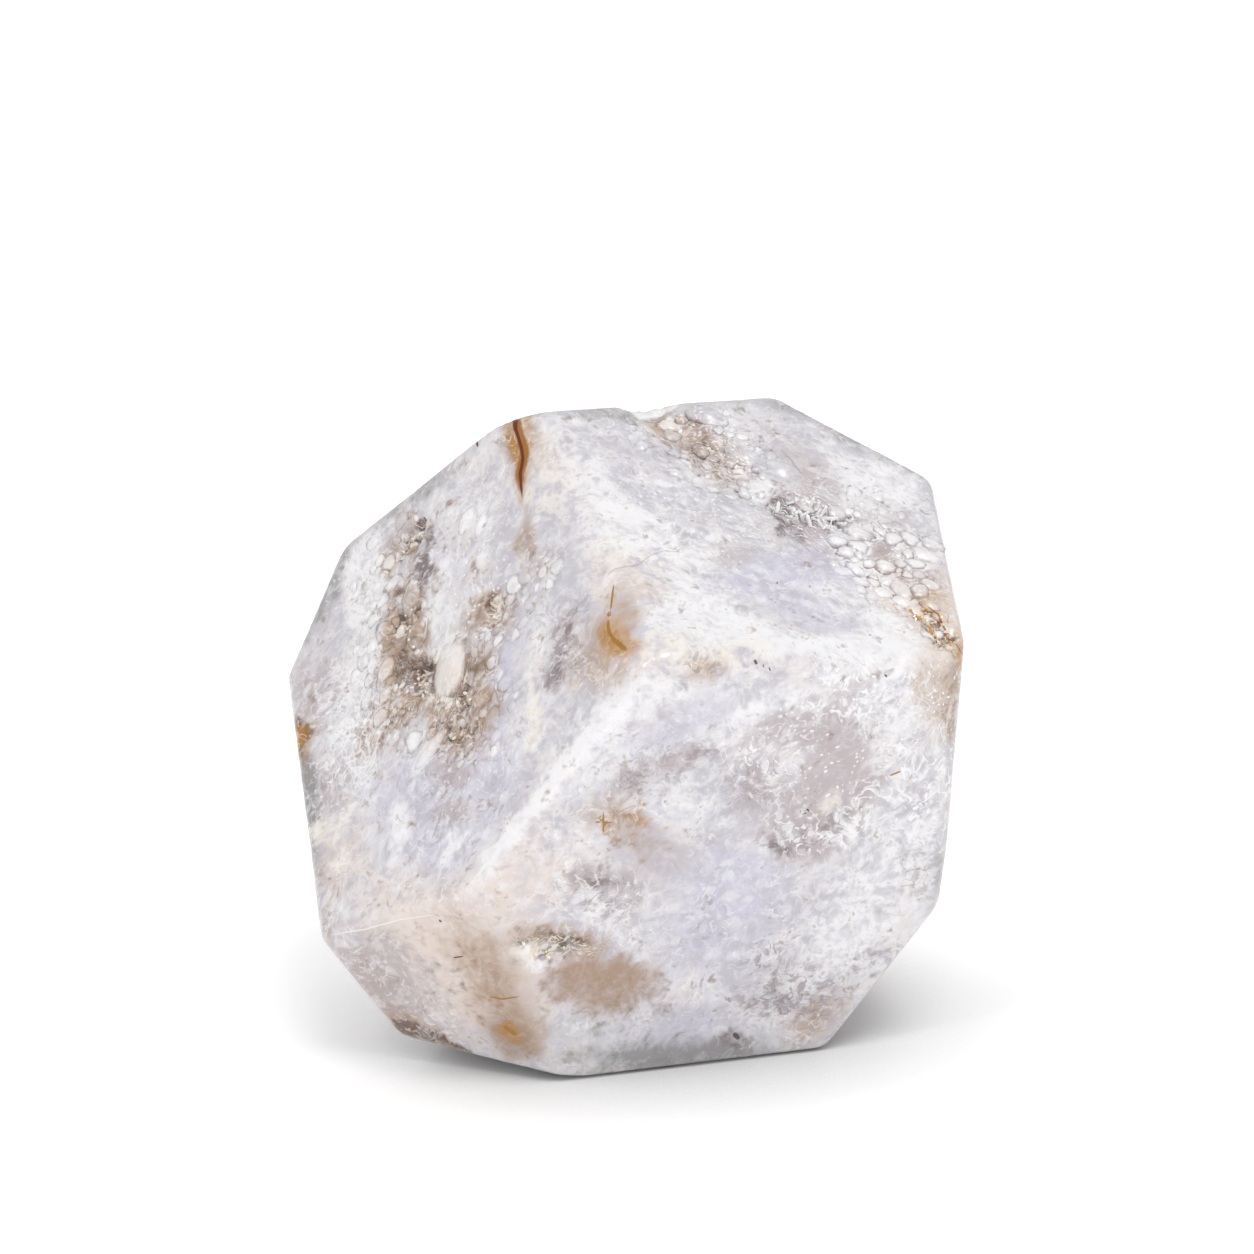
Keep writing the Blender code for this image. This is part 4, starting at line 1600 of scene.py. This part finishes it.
@dataclass(frozen=True)
class AgateFinish:
    """Milky, slightly translucent chalcedony under a hand polish. All its colours are linear.

    A pair of colours is for cool ground and for warm ground.

    Attributes:
        name: The material's name.
        milk: The plain ground.
        blush: Its warmer places.
        shade: Its darker places.
        snow: Its paler places.
        seams: The seams between the pebbles.
        tops: The tops of the pebbles.
        bead: The small beads between them.
        lace: The white lace.
        pocket_shade: Painted shade in the gaps of the pockets, grey-mauve on cool ground and dark brown on
            warm ground.
        painted_glints: Painted glints on bright edges in the pockets.
        cobble_pale: The pale ones of the faint round cells.
        cobble_dull: The dull ones.
        puff_and_highlight: The soft white puffs, partly painted highlight on the lumps' lit flanks.
        dim_and_shade: The soft dark puffs, partly painted shade on their other flanks.
        thread: The dark curls.
        hair: The white curls.
        needle_glint: The bright slivers, partly crystal slivers and partly painted glints.
        grain: The dark grains.
        dot: The white dots, partly painted glints.
        ridge_highlight: Painted highlight along the ridges.
        layers: The tints, the lowest first.
        strokes: The thin lines, the lowest first.
    """

    name: str = "polished_chalcedony"
    milk: Colour = (0.78, 0.765, 0.795)
    blush: Colour = (0.82, 0.755, 0.735)
    shade: Colour = (0.60, 0.575, 0.625)
    snow: Colour = (0.92, 0.91, 0.93)
    seams: tuple[Colour, Colour] = ((0.47, 0.42, 0.44), (0.24, 0.155, 0.115))
    tops: tuple[Colour, Colour] = ((0.94, 0.92, 0.92), (0.90, 0.835, 0.785))
    bead: Colour = (0.90, 0.885, 0.88)
    lace: Colour = (0.93, 0.92, 0.93)
    pocket_shade: tuple[Colour, Colour] = ((0.27, 0.22, 0.245), (0.12, 0.072, 0.045))
    painted_glints: tuple[Colour, Colour] = ((0.97, 0.95, 0.94), (0.96, 0.87, 0.74))
    cobble_pale: Colour = (0.88, 0.87, 0.89)
    cobble_dull: Colour = (0.42, 0.38, 0.42)
    puff_and_highlight: Colour = (0.95, 0.94, 0.95)
    dim_and_shade: Colour = (0.37, 0.315, 0.34)
    thread: Colour = (0.27, 0.22, 0.235)
    hair: Colour = (0.97, 0.96, 0.97)
    needle_glint: Colour = (0.95, 0.94, 0.92)
    grain: Colour = (0.24, 0.21, 0.22)
    dot: Colour = (0.95, 0.94, 0.95)
    ridge_highlight: Colour = (0.84, 0.80, 0.78)
    layers: tuple[Layer, ...] = (
        Layer(Tint.LAVENDER, (0.61, 0.59, 0.715), 0.8, 0.05, 0.9, 0.85),
        Layer(Tint.PEACH, (0.81, 0.69, 0.62), 0.5, 0.05, 0.9, 0.92),
        Layer(Tint.WHITE, (0.93, 0.92, 0.935), 1.0, 0.10, 0.9, 0.92),
        Layer(Tint.MAUVE, (0.51, 0.445, 0.46), 0.8, 0.10, 0.85, 0.9),
        # Grey tone, and painted shade where its patches darken the outline's rims and the foot.
        Layer(Tint.GREY_AND_SHADE, (0.30, 0.295, 0.295), 0.8, 0.10, 0.95, 0.9),
        Layer(Tint.TAN, (0.41, 0.27, 0.175), 0.6, 0.05, 0.9, 0.92),
        Layer(Tint.SMOKE, (0.20, 0.16, 0.165), 1.3, 0.15, 0.95, 0.9),
        Layer(Tint.CREAM, (0.92, 0.87, 0.80), 0.9, 0.15, 0.9, 0.9),
        Layer(Tint.BROWN, (0.15, 0.08, 0.045), 1.1, 0.15, 1.0, 0.92),
        Layer(Tint.RUST, (0.47, 0.22, 0.03), 0.6, 0.10, 0.95, 0.95),
    )
    strokes: tuple[Stroke, ...] = (
        Stroke(Trace.HAIRLINE, (0.26, 0.21, 0.215), 0.35),
        # Painted highlight along the ridges.
        Stroke(Trace.LIT_RIDGE, (0.93, 0.90, 0.87), 0.7),
        Stroke(Trace.RUST_EDGE, (0.36, 0.125, 0.008), 0.92),
        Stroke(Trace.GOLD, (0.36, 0.175, 0.012), 0.92),
        Stroke(Trace.RUST_CORE, (0.13, 0.028, 0.0), 1.0),
        Stroke(Trace.PIT, (0.08, 0.06, 0.05), 0.9),
    )

    def make(self) -> bpy.types.Material:
        """Return the material."""
        bench = NodeBench(self.name)
        ground = self._lay_ground(bench)
        colour = self._clouds(ground)
        colour, bumps = self._pebbles(ground, colour)
        for step in (self._pockets, self._cobbles, self._curls, self._flecks, self._ridge_highlights, self._lines):
            colour = step(ground, colour)
        relief = ground.relief
        rough = bench.weigh((bench.field("pebbly"), 0.08), (bench.field("druse"), 0.10), (relief, 0.14))
        rough = bench.math("ADD", rough, 0.10)
        height = bench.weigh((bumps, 1.0), (bench.times(relief, ground.calm), 0.9))
        return bench.finish(
            {
                "Base Color": colour,
                "Roughness": rough,
                "IOR": QUARTZ_IOR,
                "Subsurface Weight": 0.15,
                "Subsurface Radius": (1.0, 0.9, 0.85),
                "Subsurface Scale": 0.6 * MM,
                "Normal": bench.bump(height, 0.55, 0.10 * MM),
            }
        )

    @staticmethod
    def _lay_ground(bench: NodeBench) -> Ground:
        """Lay out the patterns that all the parts share."""
        swirl = bench.vector_field("swirl_place")
        flow = bench.vector_field("flow_place")
        calm = bench.math("SUBTRACT", 1.0, bench.field(Grain.CALM.value))
        puffs = bench.noise(swirl, 1.7, 3.0, 0.6)
        wisps = bench.noise(bench.stretched(flow, 2.4, 1.0, 1.0), 0.55, 1.0, 0.5)
        blots = bench.noise(swirl, 0.55, 1.0, 0.5)
        relief = bench.noise(swirl, 0.62, 1.6, 0.5, 0.15)
        # Painted highlight and shade: the same lumps read a little aside, so their difference lightens one
        # flank and darkens the other.
        lit = bench.noise(bench.shifted(swirl, -0.045, 0.03, 0.075), 0.62, 1.6, 0.5, 0.15)
        emboss = bench.weigh((lit, 9.0), (relief, -9.0))
        ripple = bench.weigh((puffs, 0.58), (wisps, 0.10), (blots, 0.32), (0.5, -1.0))
        return Ground(bench, swirl, flow, calm, relief, emboss, ripple)

    def _clouds(self, ground: Ground) -> Socket:
        """Return the milky clouds with the tints on them."""
        bench, ripple = ground.bench, ground.ripple
        tone = bench.weigh((bench.field("broad_cloud"), 0.16), (ripple, 1.0))
        warmth = bench.span(bench.noise(ground.swirl, 3.0, 2.0), 0.44, 0.60)
        colour = bench.blend(bench.times(warmth, 0.6), self.milk, self.blush)
        colour = bench.blend(bench.span(tone, 0.10, -0.13), colour, self.shade)
        colour = bench.blend(bench.times(bench.span(ripple, 0.02, 0.14), 0.55), colour, self.snow)
        for layer in self.layers:
            strength = bench.weigh((ripple, layer.ragged * 2.4), (bench.field(layer.tint.value), 1.0))
            strength = bench.times(bench.span(strength, layer.low, layer.high), layer.cover)
            colour = bench.blend(strength, colour, layer.colour)
        return colour

    def _pebbles(self, ground: Ground, colour: Socket) -> tuple[Socket, Socket]:
        """Tone the pebbles and darken the seams between them.

        Args:
            ground: The patterns that all the parts share.
            colour: The colour so far.

        Returns:
            The new colour and the bumps.
        """
        bench, relief = ground.bench, ground.relief
        pebbly = bench.field("pebbly")
        tan, brown = bench.field(Tint.TAN.value), bench.field(Tint.BROWN.value)
        warm = bench.weigh((tan, 1.0), (brown, 0.8), (0.12, 1.0))
        dome = bench.weigh((relief, 0.25), (bench.field("pebble_dome"), 1.0), (0.12, -1.0))
        tone = bench.field("pebble_tone")
        seam_tint = bench.blend(bench.span(warm, 0.0, 0.7), *self.seams)
        seam = bench.times(bench.span(dome, 0.12, -0.02), pebbly, bench.span(warm, 0.12, 0.65, 0.05, 0.80))
        seam = bench.times(seam, bench.span(relief, 0.36, 0.60, 0.35, 1.0))
        colour = bench.blend(seam, colour, seam_tint)
        white = bench.times(bench.span(tone, 0.35, 1.0, 0.10, 0.90), bench.span(warm, 0.3, 1.0, 1.0, 0.6))
        white = bench.math("MAXIMUM", white, bench.span(tone, 0.88, 0.94, 0.0, 0.85))
        on_top = bench.times(bench.span(dome, 0.03, 0.42), pebbly, white)
        top_tint = bench.blend(bench.span(warm, 0.2, 0.9), *self.tops)
        colour = bench.blend(on_top, colour, top_tint)
        apart, own = bench.cells(bench.stretched(ground.flow, 1.3, 1.0, 1.0), 0.58)
        beads = bench.times(bench.span(apart, 0.40, 0.14), pebbly, bench.span(own, 0.35, 0.95, 0.0, 0.6))
        beads = bench.times(beads, bench.span(dome, 0.10, 0.0))
        colour = bench.blend(beads, colour, self.bead)
        walls = bench.cell_walls(ground.swirl, 0.72)
        lace = bench.times(bench.span(walls, 0.14, 0.05), bench.field(Grain.LACE.value), 0.8)
        colour = bench.blend(lace, colour, self.lace)
        return colour, bench.weigh((beads, 0.6), (lace, 0.4))

    def _pockets(self, ground: Ground, colour: Socket) -> Socket:
        """Paint shade into the gaps in the pockets and draw painted glints on bright edges in them."""
        bench, swirl = ground.bench, ground.swirl
        druse = bench.span(bench.field("druse"), 0.10, 0.75)
        tan, brown = bench.field(Tint.TAN.value), bench.field(Tint.BROWN.value)
        warm = bench.span(bench.math("ADD", tan, brown), 0.10, 0.55)
        # Painted shade: dark colour between the crystals stands in for the pockets' depth.
        dark = bench.blend(warm, *self.pocket_shade)
        pocket_shade = bench.span(bench.noise(swirl, 1.0, 2.0, 0.5), 0.46, 0.58)
        colour = bench.blend(bench.times(pocket_shade, druse, 0.85), colour, dark)
        # Painted glints: thin bright edges on the pockets' floors.
        painted_glints = bench.from_middle(bench.noise(swirl, 0.85, 1.0, 0.45, 0.8), 0.050, 0.022)
        broken = bench.span(bench.noise(swirl, 0.70, 0.0), 0.44, 0.54)
        glint_tint = bench.blend(warm, *self.painted_glints)
        return bench.blend(bench.times(painted_glints, broken, druse, 0.95), colour, glint_tint)

    def _cobbles(self, ground: Ground, colour: Socket) -> Socket:
        """Add the faint round cells that show through the polish, each of its own tone."""
        bench = ground.bench
        apart, own = bench.cells(bench.stretched(ground.flow, 1.6, 1.0, 1.0), 0.95)
        inside = bench.span(apart, 0.62, 0.30)
        muted = bench.span(ground.calm, 0.0, 1.0, 0.2, 1.0)
        pale = bench.times(inside, bench.span(own, 0.55, 0.95, 0.0, 0.45), muted)
        colour = bench.blend(pale, colour, self.cobble_pale)
        dull = bench.times(inside, bench.span(own, 0.40, 0.05, 0.0, 0.22), muted)
        return bench.blend(dull, colour, self.cobble_dull)

    def _curls(self, ground: Ground, colour: Socket) -> Socket:
        """Add the fine white and dark curls that lie just under the polish, and soft puffs that are partly
        painted highlight and shade.
        """
        bench, swirl = ground.bench, ground.swirl
        busy = bench.span(bench.noise(swirl, 3.6, 1.0), 0.42, 0.62)
        muted = bench.span(ground.calm, 0.0, 1.0, 0.25, 1.0)
        curls = bench.weigh((bench.field(Grain.CURLS.value), 0.55), (busy, 0.12), (0.14, 1.0))
        blobs = bench.noise(swirl, 0.90, 1.0, 0.4)
        # The puffs follow the blobs and in part the painted relief shading: painted highlight in the white
        # ones, painted shade in the dark ones.
        soft = bench.weigh((ground.emboss, 0.12), (blobs, 1.0))
        puffy = bench.times(bench.span(soft, 0.53, 0.66), curls, muted)
        colour = bench.blend(puffy, colour, self.puff_and_highlight)
        specks = bench.weigh((bench.field(Grain.SPECKS.value), 0.70), (busy, 0.08), (0.06, 1.0))
        dim_and_shade = bench.times(bench.span(soft, 0.48, 0.36), specks, muted)
        colour = bench.blend(dim_and_shade, colour, self.dim_and_shade)
        thread = bench.from_middle(bench.noise(swirl, 1.25, 1.0, 0.5, 0.3), 0.030, 0.0105)
        some = bench.span(bench.noise(swirl, 1.0, 0.0), 0.46, 0.56)
        dark = bench.weigh((bench.field(Grain.SPECKS.value), 0.60), (busy, 0.10), (0.04, 1.0))
        colour = bench.blend(bench.times(thread, some, dark, muted), colour, self.thread)
        hair = bench.from_middle(bench.noise(swirl, 0.80, 0.6, 0.5, 0.35), 0.050, 0.0175)
        broken = bench.span(bench.noise(swirl, 0.60, 0.0), 0.47, 0.55)
        light = bench.weigh((bench.field(Grain.CURLS.value), 0.75), (busy, 0.20), (0.22, 1.0))
        return bench.blend(bench.times(hair, broken, light, muted), colour, self.hair)

    def _flecks(self, ground: Ground, colour: Socket) -> Socket:
        """Add bright slivers and white dots, both partly painted glints, and dark grains."""
        bench = ground.bench
        sticks = bench.noise(bench.stretched(ground.flow, 0.5, 0.12, 0.3), 1.0, 1.0, 0.5, 0.6)
        # Bright slivers, partly crystal slivers and partly painted glints.
        needles_and_glints = bench.times(bench.span(sticks, 0.58, 0.64), bench.field(Grain.NEEDLES_AND_GLINTS.value))
        colour = bench.blend(needles_and_glints, colour, self.needle_glint)
        grains = bench.times(bench.span(sticks, 0.39, 0.33), bench.field(Grain.SPECKS.value), 0.4)
        colour = bench.blend(grains, colour, self.grain)
        # White dots, partly painted glints on the polish.
        apart, own = bench.cells(ground.swirl, 0.50)
        lively = bench.span(ground.calm, 0.0, 1.0)
        dotted = bench.weigh((bench.field(Grain.DOTS.value), 0.82), (lively, 0.10))
        dots_and_glints = bench.times(bench.span(apart, 0.32, 0.20), bench.span(own, 0.28, 0.62), dotted)
        return bench.blend(dots_and_glints, colour, self.dot)

    def _ridge_highlights(self, ground: Ground, colour: Socket) -> Socket:
        """Paint a faint highlight along the ridges."""
        bench = ground.bench
        # Painted highlight: paler near each ridge, as a rounded edge catching the light.
        near = bench.weigh((ground.ripple, -3.0), (bench.field("ridge"), 1.0))
        return bench.blend(bench.span(near, 0.7, 0.0, 0.0, 0.22), colour, self.ridge_highlight)

    def _lines(self, ground: Ground, colour: Socket) -> Socket:
        """Draw the named veins, cracks and pits, and the painted highlights along ridges."""
        bench = ground.bench
        for stroke in self.strokes:
            beside = bench.node("ShaderNodeSeparateXYZ", {"Vector": bench.vector_field(stroke.kind.value)})
            along = bench.math("MULTIPLY", beside.outputs["Y"], beside.outputs["Y"])
            along = bench.math("MULTIPLY", along, along)
            across = bench.math("MULTIPLY", beside.outputs["X"], beside.outputs["X"])
            share = bench.span(bench.math("ADD", along, across), 1.3, 0.35)
            share = bench.times(share, beside.outputs["Z"], stroke.cover)
            colour = bench.blend(share, colour, stroke.colour)
        return colour


@dataclass(frozen=True)
class QuartzFinish:
    """Clear to smoky quartz points.

    Attributes:
        name: The material's name.
        dark: Its darkest colour, linear.
        light: Its lightest colour, linear.
    """

    name: str
    dark: Colour
    light: Colour

    def make(self) -> bpy.types.Material:
        """Return the material."""
        bench = NodeBench(self.name)
        place = bench.place()
        tone = bench.noise(place, 0.9, 2.0)
        colour = bench.blend(bench.span(tone, 0.38, 0.62), self.dark, self.light)
        frost = bench.noise(place, 0.12, 1.0)
        return bench.finish(
            {
                "Base Color": colour,
                "Roughness": bench.span(frost, 0.4, 0.7, 0.05, 0.22),
                "IOR": QUARTZ_IOR,
                "Subsurface Weight": 0.6,
                "Subsurface Radius": (1.0, 1.0, 1.0),
                "Subsurface Scale": 0.3 * MM,
                "Normal": bench.bump(frost, 0.3, 0.02 * MM),
            }
        )


@dataclass
class DruseCrust:
    """The small quartz crystals that line some of the pockets.

    Attributes:
        name: Name of the finished piece.
        pockets: Names of the pockets that it lines.
        finish: The crystals' finish.
        share: How many of the pocket's mesh points get a crystal.
        radius: Half width of a middling crystal.
        length: Length of a middling crystal.
        lean: How far the crystals lean over, from 0 for upright ones.
        sizes: The smallest and the largest crystal, with 1 for a middling one.
        tip: Height of a crystal's point over its half width.
        skew: How far the point lies off the middle, as a share of the half width.
    """

    name: str
    pockets: tuple[str, ...]
    finish: QuartzFinish
    share: float = 0.20
    radius: float = 0.12 * MM
    length: float = 0.80 * MM
    lean: float = 1.3
    sizes: tuple[float, float] = (0.45, 1.35)
    tip: float = 1.1
    skew: float = 0.18

    def build(self, stone: bpy.types.Object, pocket_of: np.ndarray, rng: random.Random) -> bpy.types.Object:
        """Grow the crystals on the pockets' floors.

        Args:
            stone: The finished stone.
            pocket_of: For each of its points, the number of the pocket it lies in, or -1.
            rng: The random draws.

        Returns:
            All the crystals as one object.
        """
        numbers = [number for number, pocket in enumerate(POCKETS) if pocket.name in self.pockets]
        model = self._model_crystal()
        crystals = []
        for index in np.flatnonzero(np.isin(pocket_of, numbers)):
            if rng.random() > self.share:
                continue
            vertex = stone.data.vertices[int(index)]
            lean = Vector([rng.gauss(0.0, self.lean) for _ in range(3)])
            axis = (vertex.normal + lean).normalized()
            size = rng.uniform(*self.sizes)
            turn = axis.to_track_quat("Z", "Y").to_matrix().to_4x4()
            spin = Matrix.Rotation(rng.uniform(0.0, math.tau), 4, "Z")
            crystal = copy_piece(model)
            crystal.data.transform(Matrix.Translation(vertex.co) @ turn @ spin @ Matrix.Scale(size, 4))
            crystals.append(crystal)
        bpy.data.objects.remove(model)
        crust = join_pieces(crystals, self.name)
        crust.data.materials.append(self.finish.make())
        LOG.info("%s: %d crystals", self.name, len(crystals))
        return crust

    def _model_crystal(self) -> bpy.types.Object:
        """Return one six-sided crystal that ends in an uneven point."""
        deselect_all()
        bpy.ops.mesh.primitive_cylinder_add(vertices=6, radius=self.radius, depth=self.length)
        crystal = bpy.context.active_object
        bpy.ops.object.mode_set(mode="EDIT")
        bpy.ops.mesh.select_mode(type="FACE")
        bpy.ops.mesh.select_all(action="DESELECT")
        bpy.ops.object.mode_set(mode="OBJECT")
        for face in crystal.data.polygons:
            face.select = face.normal.z > 0.9
        bpy.ops.object.mode_set(mode="EDIT")
        up = (0.0, 0.0, self.radius * self.tip)
        bpy.ops.mesh.extrude_region_move(TRANSFORM_OT_translate={"value": up})
        bpy.ops.mesh.merge(type="CENTER")
        bpy.ops.transform.translate(value=(self.radius * self.skew, 0.0, 0.0))
        bpy.ops.object.mode_set(mode="OBJECT")
        return crystal


def hang_lamp(data: bpy.types.Light, bearing: float, rise: float, distance: float) -> bpy.types.Object:
    """Add a lamp that points at the stone's heart.

    Args:
        data: What it shines with.
        bearing: Degrees round +Z, 0 to the front and 90 to the right.
        rise: Degrees above level.
        distance: From the stone's heart.

    Returns:
        The lamp.
    """
    lamp = bpy.data.objects.new(data.name, data)
    bpy.context.scene.collection.objects.link(lamp)
    ray = aim(bearing, rise)
    turn = ray.to_track_quat("Z", "Y").to_matrix().to_4x4()
    lamp.matrix_world = Matrix.Translation(HEART + ray * distance) @ turn
    return lamp


@dataclass(frozen=True)
class Softbox:
    """One square lamp that points at the stone's heart.

    It leaves no mirror image on the polish, as a lamp behind a wide diffuser does.

    Attributes:
        name: The lamp's name.
        bearing: Degrees round +Z, 0 to the front and 90 to the right.
        rise: Degrees above level.
        distance: From the stone's heart.
        side: Its side.
        power: Its power in watts.
    """

    name: str
    bearing: float
    rise: float
    distance: float
    side: float
    power: float

    def hang(self) -> None:
        """Add the lamp."""
        data = bpy.data.lights.new(self.name, "AREA")
        data.shape = "SQUARE"
        data.size = self.side
        data.energy = self.power
        hang_lamp(data, self.bearing, self.rise, self.distance).visible_glossy = False


@dataclass(frozen=True)
class BroadSun:
    """One lamp far away, as wide as a large softbox, which lights the whole floor alike.

    Attributes:
        name: The lamp's name.
        bearing: Degrees round +Z, 0 to the front and 90 to the right.
        rise: Degrees above level.
        spread: Degrees that it spans as seen from the stone.
        power: Its power in watts on each square metre.
    """

    name: str
    bearing: float
    rise: float
    spread: float
    power: float

    def hang(self) -> None:
        """Add the lamp."""
        data = bpy.data.lights.new(self.name, "SUN")
        data.angle = math.radians(self.spread)
        data.energy = self.power
        hang_lamp(data, self.bearing, self.rise, 1.0)


@dataclass(frozen=True)
class Studio:
    """The plain pale floor, the white backdrop and the soft light.

    Attributes:
        floor_side: Side of the floor.
        floor_drop: How far the floor lies below the base, so that the two don't fall together.
        floor_tone: How much light the floor reflects.
        floor_glow: Its own faint light, which keeps it white round the stone.
        shade_reach: How far from the stone that light fades.
        shade_lean: Which way the floor looks for the stone, so that it fades more on the far side.
        backdrop_radius: Radius of the white shell round the studio, which only the camera sees.
        sky: Strength of the even white light from all round.
        lamps: The lamps.
    """

    floor_side: float = 40.0
    floor_drop: float = 0.03 * MM
    floor_tone: float = 0.60
    floor_glow: float = 0.58
    shade_reach: float = 0.022
    shade_lean: tuple[float, float, float] = (-0.24, 0.12, 0.96)
    backdrop_radius: float = 19.0
    sky: float = 0.50
    lamps: tuple[BroadSun | Softbox, ...] = (
        BroadSun("key_sun", 20, 62, 26, 1.37),
        BroadSun("glint_sun", -30, 52, 3, 0.22),
        Softbox("left_softbox", -104, 27, 0.8, 0.16, 0.30),
        Softbox("back_softbox", 148, 54, 0.9, 0.30, 0.35),
    )

    def build(self) -> None:
        """Add the floor, the backdrop, the sky and the lamps."""
        self._floor()
        self._backdrop()
        world = bpy.data.worlds.new("white_sky")
        world.use_nodes = True
        sky = world.node_tree.nodes["Background"]
        sky.inputs["Color"].default_value = PURE_WHITE
        sky.inputs["Strength"].default_value = self.sky
        bpy.context.scene.world = world
        for lamp in self.lamps:
            lamp.hang()

    def _floor(self) -> None:
        """Add the pale floor."""
        deselect_all()
        bpy.ops.mesh.primitive_plane_add(size=self.floor_side, location=(0.0, 0.0, -self.floor_drop))
        floor = bpy.context.active_object
        floor.name = "pale_floor"
        bpy.ops.object.transform_apply(location=True, rotation=True, scale=True)
        bench = NodeBench("pale_floor")
        lean = bench.node("ShaderNodeCombineXYZ", dict(enumerate(self.shade_lean)))
        near = {"Distance": self.shade_reach, "Normal": lean.outputs["Vector"]}
        # Painted shadow: the floor's glow fades where the stone hides its surroundings, round the stone's
        # foot.
        painted_contact_shadow = bench.node("ShaderNodeAmbientOcclusion", near, samples=4)
        inputs = {
            "Base Color": (self.floor_tone, self.floor_tone, self.floor_tone, 1.0),
            "Emission Color": PURE_WHITE,
            "Emission Strength": bench.span(painted_contact_shadow.outputs["AO"], 0.10, 0.99, 0.0, self.floor_glow),
            "Roughness": 0.9,
            "Specular IOR Level": 0.2,
        }
        floor.data.materials.append(bench.finish(inputs))

    def _backdrop(self) -> None:
        """Add the white shell that closes the view behind the floor."""
        deselect_all()
        bpy.ops.mesh.primitive_ico_sphere_add(subdivisions=4, radius=self.backdrop_radius)
        shell = bpy.context.active_object
        shell.name = "white_backdrop"
        bench = NodeBench("white_backdrop")
        inputs = {"Base Color": (0.0, 0.0, 0.0, 1.0), "Emission Color": PURE_WHITE, "Emission Strength": 1.0}
        shell.data.materials.append(bench.finish(inputs))
        for ray in ("diffuse", "glossy", "transmission", "shadow"):
            setattr(shell, f"visible_{ray}", False)


CRUSTS = (
    DruseCrust(
        "druse_left",
        ("dark_pocket", "ring_pocket", "low_pocket", "side_pocket", "upper_pocket", "ridge_pocket"),
        QuartzFinish("smoky_quartz", (0.55, 0.42, 0.30), (0.97, 0.90, 0.78)),
    ),
    DruseCrust(
        "druse_front",
        ("front_pocket",),
        QuartzFinish("golden_quartz", (0.85, 0.70, 0.48), (1.0, 0.95, 0.82)),
    ),
    DruseCrust(
        "druse_top",
        ("top_pocket",),
        QuartzFinish("milky_quartz", (0.94, 0.91, 0.91), (1.0, 0.99, 0.99)),
        share=0.24,
        length=1.35 * MM,
        lean=1.5,
    ),
    DruseCrust(
        "druse_corner",
        ("corner_pocket",),
        QuartzFinish("honey_quartz", (0.62, 0.36, 0.15), (0.94, 0.82, 0.62)),
    ),
    DruseCrust(
        "druse_hidden",
        ("back_pocket", "right_pocket", "shoulder_pocket"),
        QuartzFinish("grey_quartz", (0.30, 0.25, 0.22), (0.80, 0.75, 0.68)),
    ),
)


def main() -> None:
    """Load the frame, build the stone and its crystals, and set up the studio."""
    logging.basicConfig(level=logging.INFO, format="%(name)s: %(message)s")
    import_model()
    view = PictureView()
    view.place_camera()
    body = StoneBody(view)
    stone = body.build()
    stone.data.materials.append(AgateFinish().make())
    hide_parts(STONE_NODE)
    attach(stone, "root")
    pebbles = PebbleCrust(view).build(stone, body.pebbles)
    pebbles.data.materials.append(stone.data.materials[0])
    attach(pebbles, "root")
    rng = random.Random(DRUSE_SEED)
    for crust in CRUSTS:
        piece = crust.build(stone, body.pocket_of, rng)
        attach(piece, "root")
    Studio().build()
    bpy.context.scene.view_settings.view_transform = "Standard"


if __name__ == "__main__":
    main()
